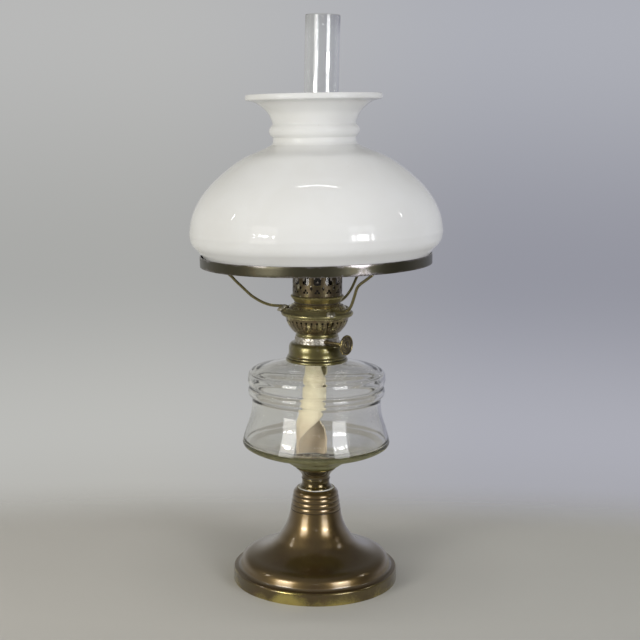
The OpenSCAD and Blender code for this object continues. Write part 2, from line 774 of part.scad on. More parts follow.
module chimney() color(clear_glass) lean(chimney_z, chimney_lean) turned_sheet(chimney_line, chimney_wall);

// Shade holder

// Hub: a pressed cone with a rolled rim, which sits round the deck
module holder_hub() color(brass) turned([
    [hub_bore_r, hub_z + hub_h],
    [hub_bore_r + 0.7, hub_z + hub_h],
    [hub_r - 1.8, hub_z + 4.4],
    [hub_r - 0.5, hub_z + 3.6],
    [hub_r, hub_z + 2.6],
    [hub_r - 0.3, hub_z + 1.2],
    [hub_r - 1.1, hub_z],
    [hub_r - 2, hub_z],
    [hub_r - 1.4, hub_z + 1.4],
    [hub_r - 1.4, hub_z + 2.4],
    [hub_r - 2.2, hub_z + 3.4],
    [hub_bore_r, hub_z + hub_h - 1.2]
]);

arm_foot_r = hub_bore_r + 1.6;
arm_foot_z = hub_z + hub_h + 0.8;
arm_tip_r = ring_r - ring_wall - ledge_w / 2;
arm_tip_z = ledge_z - arm_r;
arm_shape = [
    [0, 0], [0.1, 0], [0.19, 0.018], [0.286, 0.078], [0.373, 0.168], [0.449, 0.272], [0.535, 0.432],
    [0.627, 0.603], [0.68, 0.715], [0.755, 0.83], [0.84, 0.915], [0.925, 0.97], [1, 1]
];
front_arm_shape = [
    [0, 0], [0.15, 0], [0.28, 0.02], [0.36, 0.065], [0.436, 0.142], [0.504, 0.28], [0.57, 0.475],
    [0.63, 0.65], [0.71, 0.75], [0.8, 0.825], [0.9, 0.91], [1, 1]
];

// Wire of radius r along the route, with a flat cap at each end
module wire(route, r, sides = 10) {
    last = len(route) - 1;
    points = [
        for (i = [0 : last])
            let (
                along = unit(route[min(i + 1, last)] - route[max(i - 1, 0)]),
                across = unit(cross(along, [0, 0, 1])),
                up = cross(across, along)
            )
            for (k = [0 : sides - 1])
                route[i] + r * (cos(k * 360 / sides) * across + sin(k * 360 / sides) * up)
    ];
    polyhedron(
        points = points,
        faces = concat(
            [[for (k = [0 : sides - 1]) k]],
            [
                for (i = [0 : last - 1])
                    for (k = [0 : sides - 1])
                        let (a = i * sides + k, b = i * sides + (k + 1) % sides)
                        [a, a + sides, b + sides, b]
            ],
            [[for (k = [sides - 1 : -1 : 0]) last * sides + k]]
        )
    );
}

// Arm at the angle, rising by the shape's shares; its tip follows the leaning ring
module holder_arm(angle, shape) {
    route = [
        for (p = smooth(shape, 2))
            let (
                r = arm_foot_r + (arm_tip_r - arm_foot_r) * p[0],
                upright = [r * cos(angle), r * sin(angle), arm_foot_z + (arm_tip_z - arm_foot_z) * p[1]]
            )
            upright + ease(0, 1, p[0]) * (leaned(upright, hub_z, -shade_lean) - upright)
    ];
    color(brass) wire(route, arm_r);
}

module holder_arm_left() holder_arm(arm_angles[0], arm_shape);
module holder_arm_front() holder_arm(arm_angles[1], front_arm_shape);
module holder_arm_back() holder_arm(arm_angles[2], arm_shape);

// Ring: an upright band with a ledge inside it for the shade
module holder_ring() color(old_brass) lean(hub_z, -shade_lean) turned([
    [ring_r - ring_wall - ledge_w, ledge_z],
    [ring_r - ring_wall, ledge_z],
    [ring_r - ring_wall, ring_z],
    [ring_r, ring_z],
    [ring_r, ring_z + ring_h],
    [ring_r - ring_wall, ring_z + ring_h],
    [ring_r - ring_wall, ledge_z + ring_wall],
    [ring_r - ring_wall - ledge_w, ledge_z + ring_wall]
]);

// Shade: fitter, belly and dome, beaded neck and flared rim

belly_h = 31.2;
dome_top_h = shade_h - 50.4;
shade_line = concat(
    [[fitter_r, shade_z], [fitter_r + 0.2, shade_z + 7]],
    without_first(smooth([
        [fitter_r + 0.2, shade_z + 7],
        [fitter_r + 1.8, shade_z + 10],
        [fitter_r + 0.45 * (shade_r - fitter_r), shade_z + 14.8],
        [fitter_r + 0.74 * (shade_r - fitter_r), shade_z + 19],
        [shade_r - 1.1, shade_z + 24],
        [shade_r, shade_z + belly_h]
    ], 3)),
    without_first(smooth(stretch(
        [[0, 0], [0.03, 0.18], [0.115, 0.365], [0.257, 0.546], [0.466, 0.727], [0.68, 0.865], [0.88, 0.945], [1, 1]],
        [shade_r, shade_z + belly_h], [shade_neck_r + 1.8, shade_z + dome_top_h]
    ), 5)),
    smooth([
        [shade_neck_r + 0.2, shade_z + dome_top_h + 2.2],
        [shade_neck_r, shade_z + dome_top_h + 5.4],
        [shade_neck_r + 0.6, shade_z + dome_top_h + 8.4],
        [shade_bead_r - 0.8, shade_z + dome_top_h + 11.4],
        [shade_bead_r, shade_z + dome_top_h + 14.2],
        [shade_bead_r - 0.8, shade_z + dome_top_h + 17],
        [shade_neck_r + 0.6, shade_z + dome_top_h + 19.6],
        [shade_neck_r + 0.1, shade_z + dome_top_h + 21.4]
    ], 3),
    without_first(smooth(stretch(
        [[0, 0], [0.05, 0.13], [0.2, 0.4], [0.56, 0.72], [0.82, 0.84], [0.95, 0.9]],
        [shade_neck_r + 0.1, shade_z + dome_top_h + 21.4], [shade_rim_r, shade_z + shade_h]
    ), 4)),
    [[shade_rim_r, shade_z + shade_h - 1.6], [shade_rim_r - 0.6, shade_z + shade_h]]
);

module shade() color(opal_glass) lean(hub_z, -shade_lean) translate([shade_slip, 0, 0])
    turned_sheet(shade_line, shade_wall);

foot();
foot_plaster();
stem();
stem_plaster();
font();
collar();
collar_plaster();
base_ring();
base_band();
air_basket();
deck();
sieve_plate();
wick_tube();
draught_tube();
shaft_bush();
gallery();
winder_shaft();
spiked_wheels();
winder_knob();
wick();
chimney();
holder_hub();
holder_arm_left();
holder_arm_front();
holder_arm_back();
holder_ring();
shade();
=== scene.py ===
import math

import bpy
import numpy as np
from mathutils import Matrix


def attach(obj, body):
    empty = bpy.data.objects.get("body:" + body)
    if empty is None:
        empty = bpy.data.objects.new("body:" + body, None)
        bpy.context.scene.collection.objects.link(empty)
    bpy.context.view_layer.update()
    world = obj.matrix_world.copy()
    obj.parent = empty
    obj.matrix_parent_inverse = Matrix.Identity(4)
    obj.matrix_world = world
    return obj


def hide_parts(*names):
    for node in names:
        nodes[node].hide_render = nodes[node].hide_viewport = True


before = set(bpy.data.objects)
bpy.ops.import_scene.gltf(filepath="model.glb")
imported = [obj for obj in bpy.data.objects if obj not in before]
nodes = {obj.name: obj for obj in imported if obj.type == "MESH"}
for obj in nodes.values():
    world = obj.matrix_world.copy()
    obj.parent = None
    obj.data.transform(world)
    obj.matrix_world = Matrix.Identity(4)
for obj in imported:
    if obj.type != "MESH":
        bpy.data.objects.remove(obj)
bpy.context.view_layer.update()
mm = 0.001
print("frame loaded:", len(nodes), "nodes")

# ---- camera, floor and light -------------------------------------------------

view = {
    "place": (0.0030, -1.2530, 0.4843),  # metres, on the photograph's side of the lamp
    "pitch": 9.288,  # degrees below level
    "roll": 0.5,
    "lens": 68.36,
    "sensor": 36.0,
}
studio = {
    # height of the direction, then the backdrop's colour to the left and to the right
    "backdrop": [
        (-0.330, (0.370, 0.358, 0.325), (0.330, 0.322, 0.315)),
        (-0.303, (0.470, 0.465, 0.440), (0.385, 0.388, 0.425)),
        (-0.250, (0.500, 0.500, 0.480), (0.410, 0.415, 0.465)),
        (-0.120, (0.400, 0.402, 0.390), (0.300, 0.305, 0.352)),
        (0.080, (0.480, 0.482, 0.478), (0.415, 0.425, 0.470)),
        (0.240, (0.380, 0.375, 0.355), (0.320, 0.320, 0.335)),
        (0.450, (0.170, 0.165, 0.150), (0.130, 0.130, 0.130)),
    ],
    # sideways direction, then what stands beside and behind the camera and shows only in reflections
    "room": [(-0.9, (0.29, 0.28, 0.25)), (-0.2, (0.215, 0.21, 0.195)), (0.35, (0.15, 0.15, 0.155)), (0.8, (0.045, 0.045, 0.05))],
    "ambientLeft": (0.40, 0.392, 0.358),
    "ambientRight": (0.29, 0.293, 0.315),
    "floor": [(0.585, 0.565, 0.515), (0.545, 0.535, 0.495)],  # painted light: lighter and warmer to the left, greyer to the right
    "floorRadius": 2.4,
    "floorFade": (0.14, 0.36),  # metres behind the lamp where the floor passes into the background
    "target": (0.0, 0.0, 0.36),
}
lamps = [
    # name, azimuth, elevation, distance, width, height, radiance, colour
    ("softboxLeft", -46.0, 7.4, 1.72, 0.73, 0.95, 4.4, (1.0, 0.985, 0.945)),
    ("softboxRight", 40.0, 8.0, 1.72, 0.73, 0.95, 4.25, (0.95, 0.965, 1.0)),
    ("bulbsLeft", -45.5, 7.3, 1.66, 0.27, 0.05, 64.0, (1.0, 0.99, 0.97)),
    ("bulbsRight", 40.0, 8.6, 1.66, 0.27, 0.05, 64.0, (0.98, 0.985, 1.0)),
    ("bulbLeftOuter", -54.5, 7.0, 1.62, 0.045, 0.045, 70.0, (1.0, 0.99, 0.97)),
    ("bulbLeftInner", -36.4, 7.6, 1.62, 0.045, 0.045, 70.0, (1.0, 0.99, 0.97)),
    ("bulbRightInner", 31.2, 8.8, 1.62, 0.045, 0.045, 70.0, (0.98, 0.985, 1.0)),
    ("bulbRightOuter", 49.1, 8.6, 1.62, 0.045, 0.045, 70.0, (0.98, 0.985, 1.0)),
    ("overheadBar", -9.0, 86.0, 2.0, 0.80, 0.045, 38.0, (1.0, 1.0, 1.0)),
    ("sideStripLeft", -86.0, 27.0, 2.0, 0.04, 0.20, 30.0, (1.0, 0.99, 0.97)),
    ("sideStripRight", 88.0, 29.0, 2.0, 0.04, 0.20, 30.0, (0.98, 0.985, 1.0)),
    ("frontStrip", 1.0, 14.6, 2.2, 0.36, 0.012, 16.0, (1.0, 1.0, 1.0)),
]

scene = bpy.context.scene
scene.view_settings.view_transform = "Standard"

cameraData = bpy.data.cameras.new("camera")
cameraData.lens, cameraData.sensor_width = view["lens"], view["sensor"]
cameraData.clip_start, cameraData.clip_end = 0.05, 50.0
camera = bpy.data.objects.new("camera", cameraData)
camera.matrix_world = (
    Matrix.Translation(view["place"])
    @ Matrix.Rotation(math.radians(90 - view["pitch"]), 4, "X")
    @ Matrix.Rotation(math.radians(view["roll"]), 4, "Z")
)
scene.collection.objects.link(camera)
scene.camera = camera


def addNode(tree, kind, inputs=None, **settings):
    node = tree.nodes.new(kind)
    for key, value in settings.items():
        setattr(node, key, value)
    for key, value in (inputs or {}).items():
        if isinstance(value, bpy.types.NodeSocket):
            tree.links.new(value, node.inputs[key])
        else:
            node.inputs[key].default_value = value
    return node


def softBox(name, azimuth, elevation, distance, width, height, radiance, colour):
    # place = target + distance * (sin a cos e, -cos a cos e, sin e), facing the target
    a, e = math.radians(azimuth), math.radians(elevation)
    away = np.array([math.sin(a) * math.cos(e), -math.cos(a) * math.cos(e), math.sin(e)])
    data = bpy.data.lights.new(name, "AREA")
    data.shape, data.size, data.size_y = "RECTANGLE", width, height
    data.energy = radiance * math.pi * width * height
    data.color = colour
    lamp = bpy.data.objects.new(name, data)
    side = np.array([math.cos(a), math.sin(a), 0.0]) if elevation < 80 else np.array([1.0, 0.0, 0.0])
    up = np.cross(away, side)
    turn = np.stack([side, up / np.linalg.norm(up), away], 1)
    lamp.matrix_world = Matrix.Translation(np.array(studio["target"]) + distance * away) @ Matrix(turn.tolist()).to_4x4()
    lamp.visible_camera = False
    scene.collection.objects.link(lamp)
    return lamp


for lampRow in lamps:
    softBox(*lampRow)

world = bpy.data.worlds.new("studio")
world.use_nodes = True
scene.world = world
tree = world.node_tree
tree.nodes.clear()
path = addNode(tree, "ShaderNodeLightPath")
seen = addNode(tree, "ShaderNodeMath", {0: path.outputs["Is Camera Ray"], 1: path.outputs["Is Glossy Ray"]}, operation="MAXIMUM")
seen = addNode(tree, "ShaderNodeMath", {0: seen.outputs[0], 1: path.outputs["Is Transmission Ray"]}, operation="MAXIMUM")
way = addNode(tree, "ShaderNodeSeparateXYZ", {0: addNode(tree, "ShaderNodeTexCoord").outputs["Generated"]})


def ramp(tree, value, stops):
    # colours along a value from -1 to 1
    node = addNode(tree, "ShaderNodeValToRGB", {0: addNode(tree, "ShaderNodeMapRange", {0: value, 1: -1.0, 2: 1.0}).outputs[0]})
    node.color_ramp.interpolation = "EASE"
    for index, (at, colour) in enumerate(stops):
        stop = node.color_ramp.elements[index] if index < 2 else node.color_ramp.elements.new(1.0)
        stop.position, stop.color = (at + 1) / 2, (*colour, 1)
    return node.outputs[0]


def between(tree, value, low, high):
    return addNode(tree, "ShaderNodeMapRange", {0: value, 1: low, 2: high}, interpolation_type="SMOOTHSTEP").outputs[0]


def blendColours(tree, share, a, b):
    inputs = {0: share, 6: a, 7: b}
    return addNode(tree, "ShaderNodeMix", inputs, data_type="RGBA").outputs[2]


leftWall = ramp(tree, way.outputs[2], [(row[0], row[1]) for row in studio["backdrop"]])
rightWall = ramp(tree, way.outputs[2], [(row[0], row[2]) for row in studio["backdrop"]])
wall = blendColours(tree, between(tree, way.outputs[0], -0.16, 0.16), leftWall, rightWall)
room = ramp(tree, way.outputs[0], studio["room"])
behind = addNode(tree, "ShaderNodeMath", {0: between(tree, way.outputs[1], -0.15, 0.5), 1: between(tree, way.outputs[2], -0.28, -0.33)}, operation="MAXIMUM")
reflected = addNode(tree, "ShaderNodeMath", {0: behind.outputs[0], 1: path.outputs["Is Glossy Ray"]}, operation="SUBTRACT")
inView = addNode(tree, "ShaderNodeMath", {0: reflected.outputs[0], 1: -0.001}, operation="GREATER_THAN")
shown = blendColours(tree, addNode(tree, "ShaderNodeMath", {0: behind.outputs[0], 1: inView.outputs[0]}, operation="MAXIMUM").outputs[0], room, wall)
lit = blendColours(tree, between(tree, way.outputs[0], -0.8, 0.8), (*studio["ambientLeft"], 1), (*studio["ambientRight"], 1))
backdrop = addNode(tree, "ShaderNodeBackground", {"Color": shown})
fill = addNode(tree, "ShaderNodeBackground", {"Color": lit})
chosen = addNode(tree, "ShaderNodeMixShader", {0: seen.outputs[0], 1: fill.outputs[0], 2: backdrop.outputs[0]})
addNode(tree, "ShaderNodeOutputWorld", {"Surface": chosen.outputs[0]})
print("studio and camera made")


# ---- shapes ------------------------------------------------------------------


def smoothLine(points, steps=4):
    # curve through the points: cubic spans whose slope at a point is half the chord between its neighbours
    p = np.array(points, float)
    i = np.arange(len(p) - 1)
    a, b, c, d = p[np.maximum(i - 1, 0)], p[i], p[i + 1], p[np.minimum(i + 2, len(p) - 1)]
    t = (np.arange(steps) / steps)[:, None, None]
    q = (2 * b + (c - a) * t + (2 * a - 5 * b + 4 * c - d) * t**2 + (3 * b - a - 3 * c + d) * t**3) / 2
    return np.vstack([q.transpose(1, 0, 2).reshape(-1, p.shape[1]), p[-1:]])


def stretched(shares, a, b):
    # outline given as shares of the way from corner a to corner b
    return np.array(a) + (np.array(b) - np.array(a)) * np.array(shares)


def besideLine(line, thickness):
    # every point moved to the left by the thickness, along the mean of its two sides' normals
    step = np.diff(line, axis=0)
    step /= np.linalg.norm(step, axis=1)[:, None]
    before, after = np.vstack([step[:1], step]), np.vstack([step, step[-1:]])
    left = np.stack([-before[:, 1], before[:, 0]], 1)
    side = left + np.stack([-after[:, 1], after[:, 0]], 1)
    side /= np.linalg.norm(side, axis=1)[:, None]
    return line + side * (thickness / (side * left).sum(1))[:, None]


def rounded(line, radius, closed=True, steps=4, least=18):
    # a corner c that turns by more than least degrees becomes (1-t)^2 start + 2t(1-t) c + t^2 end
    p = np.array(line, float)
    before, after = np.roll(p, 1, 0) - p, np.roll(p, -1, 0) - p
    lengthBefore, lengthAfter = np.linalg.norm(before, axis=1), np.linalg.norm(after, axis=1)
    cosine = -(before * after).sum(1) / np.maximum(lengthBefore * lengthAfter, 1e-12)
    sharp = cosine < math.cos(math.radians(least))
    if not closed:
        sharp[[0, -1]] = False
    start = p + before * (np.minimum(radius / np.maximum(lengthBefore, 1e-9), 0.45))[:, None]
    end = p + after * (np.minimum(radius / np.maximum(lengthAfter, 1e-9), 0.45))[:, None]
    count = np.where(sharp, steps + 1, 1)
    i = np.repeat(np.arange(len(p)), count)
    t = ((np.arange(count.sum()) - np.repeat(np.cumsum(count) - count, count)) / steps)[:, None]
    curve = (1 - t) ** 2 * start[i] + 2 * t * (1 - t) * p[i] + t**2 * end[i]
    return np.where(sharp[i][:, None], curve, p[i])


def edgeShare(line, reach, closed):
    # how far a point stands out from the middle of the outline's points a reach before and after it
    p = np.vstack([line, line[:1]]) if closed else line
    along = np.concatenate([[0], np.cumsum(np.linalg.norm(np.diff(p, axis=0), axis=1))])
    at, whole = along[: len(line)], along[-1]
    wrap = (lambda s: s % whole) if closed else (lambda s: np.clip(s, 0, whole))
    near = [np.stack([np.interp(wrap(at + s), along, p[:, k]) for k in range(2)], 1) for s in (-reach, reach)]
    out = line - (near[0] + near[1]) / 2
    way = near[1] - near[0]
    outward = np.stack([way[:, 1], -way[:, 0]], 1) / np.maximum(np.linalg.norm(way, axis=1), 1e-9)[:, None]
    return (out * outward).sum(1) / reach


def wave(turn, height, seed, amount, fine=1.0):
    # sum of seven slow sine waves in turn and height, the same each run for a seed
    rng = np.random.default_rng(seed)
    total = 0
    for k in range(1, 8):
        total = total + np.sin(k * turn + rng.uniform(0, 6.28) + fine * height * rng.uniform(-0.12, 0.12) * k) / k**0.7
    return amount * total / 2.2


def meshPiece(name, points, faces, material, smooth=True, sharpAngle=38.0):
    # points in millimetres, faces as one or more arrays of corner numbers
    mesh = bpy.data.meshes.new(name)
    mesh.from_pydata((points * mm).tolist(), [], [row for block in faces for row in block.tolist()])
    if smooth:
        mesh.shade_smooth()
        mesh.set_sharp_from_angle(angle=math.radians(sharpAngle))
    mesh.materials.append(material)
    piece = bpy.data.objects.new(name, mesh)
    scene.collection.objects.link(piece)
    return piece


def gridFaces(rows, columns, closeRows, closeColumns):
    # the four-cornered faces of a grid, closed round its rows or its columns where asked
    i = np.arange(rows if closeRows else rows - 1)[:, None]
    k = np.arange(columns if closeColumns else columns - 1)[None, :]
    a, b = i * columns + k, i * columns + (k + 1) % columns
    c, d = ((i + 1) % rows) * columns + (k + 1) % columns, ((i + 1) % rows) * columns + k
    return np.stack([a, b, c, d], -1).reshape(-1, 4)


def turned(name, outline, material, sides=192, closed=True, shape=None, reach=1.2, sharpAngle=38.0):
    # point (i, k): radius i of the outline at the turn 2 pi k / sides, at height i; an open outline ends on the axis
    line = np.array(outline, float)
    area = (line[:, 0] * np.roll(line[:, 1], -1) - np.roll(line[:, 0], -1) * line[:, 1]).sum()
    line = line if area > 0 else line[::-1]
    edge = edgeShare(line, reach, closed)
    turn = np.arange(sides) * 2 * math.pi / sides
    body = line if closed else line[1:-1]
    r, z = body[:, :1], body[:, 1:]
    grid = np.stack([r * np.cos(turn), r * np.sin(turn), z + 0 * turn], -1)
    points, faces = grid.reshape(-1, 3), [gridFaces(len(body), sides, closed, True)]
    edges = np.repeat(edge if closed else edge[1:-1], sides)
    if not closed:
        low, high = len(points), len(points) + 1
        points = np.vstack([points, [[0, 0, line[0, 1]], [0, 0, line[-1, 1]]]])
        edges = np.append(edges, [edge[0], edge[-1]])
        k = np.arange(sides)
        top = (len(body) - 1) * sides
        faces.append(np.stack([k * 0 + low, (k + 1) % sides, k], -1))
        faces.append(np.stack([k * 0 + high, top + k, top + (k + 1) % sides], -1))
    if shape is not None:
        points = shape(points)
    piece = meshPiece(name, points, faces, material, sharpAngle=sharpAngle)
    piece.data.attributes.new("edge", "FLOAT", "POINT").data.foreach_set("value", edges.astype(np.float32))
    return piece


def leaned(points, height, degrees):
    # turned about the line along Y at that height
    c, s = math.cos(math.radians(degrees)), math.sin(math.radians(degrees))
    x, z = points[:, 0], points[:, 2] - height
    return np.stack([x * c + z * s, points[:, 1], height - x * s + z * c], 1)


def wavy(seed, amount, low=-1e9, high=1e9, fine=1.0):
    # moves points in or out by the wave, between two heights
    def shape(points):
        turn, r = np.arctan2(points[:, 1], points[:, 0]), np.hypot(points[:, 0], points[:, 1])
        inside = np.clip((points[:, 2] - low) / 2, 0, 1) * np.clip((high - points[:, 2]) / 2, 0, 1)
        grown = 1 + inside * wave(turn, points[:, 2], seed, amount, fine) / np.maximum(r, 1)
        return points * np.stack([grown, grown, np.ones_like(grown)], 1)

    return shape


def tube(name, route, radius, material, sides=20):
    # circles of the radius square to the route, which close over both ends as half balls
    p = np.array(route, float)
    step = np.gradient(p, axis=0)
    along = step / np.linalg.norm(step, axis=1)[:, None]
    cap = np.linspace(0, math.pi / 2, 6)[:-1]
    start = p[0] - radius * np.cos(cap)[:, None] * along[0] * 0.6
    end = p[-1] + radius * np.cos(cap[::-1])[:, None] * along[-1] * 0.6
    middle = np.vstack([start, p, end])
    way = np.vstack([np.repeat(along[:1], 5, 0), along, np.repeat(along[-1:], 5, 0)])
    size = np.concatenate([radius * np.sin(cap), np.full(len(p), radius), radius * np.sin(cap[::-1])])
    across = np.cross(way, [0, 0, 1.0])
    across /= np.linalg.norm(across, axis=1)[:, None]
    up = np.cross(across, way)
    turn = np.arange(sides) * 2 * math.pi / sides
    ring = across[:, None] * np.cos(turn)[None, :, None] + up[:, None] * np.sin(turn)[None, :, None]
    points = middle[:, None] + ring * size[:, None, None]
    points, rows = points[1:-1].reshape(-1, 3), len(middle) - 2
    k, top = np.arange(sides), (rows - 1) * sides
    low, high = len(points), len(points) + 1
    points = np.vstack([points, start[:1], end[-1:]])
    faces = [
        gridFaces(rows, sides, False, True)[:, ::-1],
        np.stack([k * 0 + low, k, (k + 1) % sides], -1),
        np.stack([k * 0 + high, top + (k + 1) % sides, top + k], -1),
    ]
    return meshPiece(name, points, faces, material)


# ---- finishes ----------------------------------------------------------------


def newFinish(name):
    material = bpy.data.materials.new(name)
    material.use_nodes = True
    tree = material.node_tree
    tree.nodes.clear()
    shader = addNode(tree, "ShaderNodeBsdfPrincipled")
    output = addNode(tree, "ShaderNodeOutputMaterial", {"Surface": shader.outputs[0]})
    return material, tree, shader, output


def noise(tree, place, size, detail=4.0, rough=0.55, distortion=0.0):
    # size in metres of one cell
    inputs = {"Vector": place, "Scale": 1 / size, "Detail": detail, "Roughness": rough, "Distortion": distortion}
    return addNode(tree, "ShaderNodeTexNoise", inputs).outputs["Fac"]


def mathNode(tree, operation, *values):
    return addNode(tree, "ShaderNodeMath", dict(enumerate(values)), operation=operation).outputs[0]


def remap(tree, value, low, high, outLow=0.0, outHigh=1.0):
    inputs = {"Value": value, "From Min": low, "From Max": high, "To Min": outLow, "To Max": outHigh}
    return addNode(tree, "ShaderNodeMapRange", inputs, interpolation_type="SMOOTHSTEP").outputs[0]


def mixColour(tree, share, a, b):
    inputs = {"Factor": share, 6: a if isinstance(a, bpy.types.NodeSocket) else (*a, 1), 7: b if isinstance(b, bpy.types.NodeSocket) else (*b, 1)}
    return addNode(tree, "ShaderNodeMix", inputs, data_type="RGBA").outputs[2]


def bump(tree, height, strength, distance, normal=None):
    inputs = {"Height": height, "Strength": strength, "Distance": distance}
    if normal is not None:
        inputs["Normal"] = normal
    return addNode(tree, "ShaderNodeBump", inputs).outputs[0]


def brassFinish(name, look):
    # oxidised and bright metal mixed by slow blotches and the outline's edges, brown tarnish, and dirt in the grooves
    material, tree, shader, _ = newFinish(name)
    place = addNode(tree, "ShaderNodeTexCoord").outputs["Object"]
    edge = addNode(tree, "ShaderNodeAttribute", attribute_name="edge").outputs["Fac"]
    blotches = noise(tree, place, look["blotch"], 5.0, 0.55, 0.3)
    specks = noise(tree, place, look["speck"], 3.0, 0.6)
    worn = mathNode(tree, "ADD", blotches, mathNode(tree, "MULTIPLY", mathNode(tree, "ADD", specks, -0.5), look["speckle"]))
    worn = mathNode(tree, "ADD", worn, mathNode(tree, "MULTIPLY", edge, look["edgeWear"]))
    for spot, size, amount in look.get("wornAndHighlightSpots", []):  # brighter patches: on the foot, places that hands or cleaning have left brighter; on the ring, a painted highlight where the right lamp's reflection falls
        away = addNode(tree, "ShaderNodeVectorMath", {0: place, 1: spot}, operation="DISTANCE").outputs["Value"]
        worn = mathNode(tree, "ADD", worn, remap(tree, away, 0.0, size, amount, 0.0))
    share = remap(tree, worn, *look["wornRange"])
    patina = look["patina"]
    if "below" in look:  # another tone under a height
        height = addNode(tree, "ShaderNodeSeparateXYZ", {0: place}).outputs[2]
        patina = mixColour(tree, remap(tree, height, look["below"][0] - 0.0004, look["below"][0] + 0.0004), look["below"][1], patina)
    colour = mixColour(tree, share, patina, look["metal"])
    tarnish = remap(tree, noise(tree, place, look["blotch"] * 0.6, 5.0, 0.6), 0.5, 0.72, 0.0, look["tarnishShare"])
    colour = mixColour(tree, tarnish, colour, look["tarnish"])
    dirt = remap(tree, mathNode(tree, "MULTIPLY", edge, -1.0), 0.04, 0.3, 0.0, look["dirtShare"])
    if look.get("sootAndShadeInside"):  # soot, and painted shade, on walls that face the lamp's axis
        normal = addNode(tree, "ShaderNodeNewGeometry").outputs["Normal"]
        inward = addNode(tree, "ShaderNodeVectorMath", {0: normal, 1: place}, operation="DOT_PRODUCT").outputs["Value"]
        up = mathNode(tree, "MULTIPLY", addNode(tree, "ShaderNodeSeparateXYZ", {0: normal}).outputs[2], addNode(tree, "ShaderNodeSeparateXYZ", {0: place}).outputs[2])
        flat = mathNode(tree, "SUBTRACT", up, inward)
        dirt = mathNode(tree, "MAXIMUM", dirt, remap(tree, flat, 0.002, 0.008, 0.0, look["sootAndShadeInside"]))
    colour = mixColour(tree, dirt, colour, look["dirt"])
    tree.links.new(colour, shader.inputs["Base Color"])
    metallic = mathNode(tree, "MULTIPLY", remap(tree, share, 0.0, 1.0, look["metallic"], 1.0), remap(tree, dirt, 0.0, 1.0, 1.0, 0.3))
    tree.links.new(metallic, shader.inputs["Metallic"])
    rough = remap(tree, share, 0.0, 1.0, look["rough"][0], look["rough"][1])
    rough = mathNode(tree, "ADD", rough, mathNode(tree, "MULTIPLY", mathNode(tree, "ADD", specks, -0.5), look["roughVary"]))
    tree.links.new(mathNode(tree, "ADD", rough, mathNode(tree, "MULTIPLY", dirt, 0.35)), shader.inputs["Roughness"])
    shader.inputs["Coat Weight"].default_value = look["coat"]
    shader.inputs["Coat Roughness"].default_value = look["coatRough"]
    shader.inputs["Coat IOR"].default_value = look.get("coatIor", 1.5)
    normal = bump(tree, noise(tree, place, look["dents"], 3.0, 0.5), look["dentDepth"], 0.0006)
    normal = bump(tree, noise(tree, place, look["speck"] * 0.6, 4.0, 0.6), look["grain"], 0.0001, normal)
    if look["lines"]:
        squeezed = addNode(tree, "ShaderNodeMapping", {"Vector": place, "Scale": (6.0, 6.0, 1100.0)}).outputs[0]
        lines = addNode(tree, "ShaderNodeTexNoise", {"Vector": squeezed, "Scale": 1.0, "Detail": 3.0, "Roughness": 0.7}).outputs["Fac"]
        normal = bump(tree, lines, look["lines"], 0.00006, normal)
    tree.links.new(normal, shader.inputs["Normal"])
    return material


darkBrass = brassFinish("footBrass", {
    "metal": (0.60, 0.49, 0.12), "patina": (0.175, 0.112, 0.033), "tarnish": (0.145, 0.078, 0.028), "tarnishShare": 0.5,
    "dirt": (0.04, 0.03, 0.016), "dirtShare": 0.75, "blotch": 0.04, "speck": 0.0018, "speckle": 0.16, "edgeWear": 0.42,
    "wornRange": (0.66, 1.05), "metallic": 0.95, "rough": (0.29, 0.24), "roughVary": 0.05, "coat": 1.0, "coatRough": 0.17, "coatIor": 1.7,
    "dents": 0.02, "dentDepth": 0.08, "grain": 0.03, "lines": 0.03,
    "wornAndHighlightSpots": [((-0.026, -0.083, 0.002), 0.026, 0.56), ((0.030, -0.082, 0.002), 0.024, 0.2)],
    "below": (0.0128, (0.115, 0.076, 0.012)),
})
agedBrass = brassFinish("stemBrass", {
    "metal": (0.40, 0.31, 0.085), "patina": (0.108, 0.074, 0.016), "tarnish": (0.11, 0.06, 0.018), "tarnishShare": 0.5,
    "dirt": (0.03, 0.022, 0.012), "dirtShare": 0.8, "blotch": 0.016, "speck": 0.0012, "speckle": 0.15, "edgeWear": 0.4,
    "wornRange": (0.62, 1.0), "metallic": 0.95, "rough": (0.22, 0.18), "roughVary": 0.06, "coat": 0.9, "coatRough": 0.1, "coatIor": 1.6,
    "dents": 0.01, "dentDepth": 0.12, "grain": 0.05, "lines": 0.06,
})
collarBrass = brassFinish("collarBrass", {
    "metal": (0.42, 0.38, 0.20), "patina": (0.165, 0.142, 0.048), "tarnish": (0.15, 0.10, 0.04), "tarnishShare": 0.6,
    "dirt": (0.026, 0.02, 0.01), "dirtShare": 0.85, "blotch": 0.012, "speck": 0.0012, "speckle": 0.15, "edgeWear": 0.45,
    "wornRange": (0.55, 0.9), "metallic": 0.85, "rough": (0.3, 0.24), "roughVary": 0.08, "coat": 0.8, "coatRough": 0.06,
    "dents": 0.008, "dentDepth": 0.18, "grain": 0.05, "lines": 0.06,
})
burnerBrass = brassFinish("burnerBrass", {
    "metal": (0.62, 0.55, 0.26), "patina": (0.185, 0.145, 0.075), "tarnish": (0.17, 0.10, 0.05), "tarnishShare": 0.7,
    "dirt": (0.022, 0.017, 0.012), "dirtShare": 0.85, "blotch": 0.008, "speck": 0.0010, "speckle": 0.2, "edgeWear": 0.6,
    "wornRange": (0.5, 0.72), "metallic": 0.85, "rough": (0.28, 0.2), "roughVary": 0.1, "coat": 0.35, "coatRough": 0.15,
    "dents": 0.006, "dentDepth": 0.2, "grain": 0.08, "lines": 0.05, "sootAndShadeInside": 0.97,
})
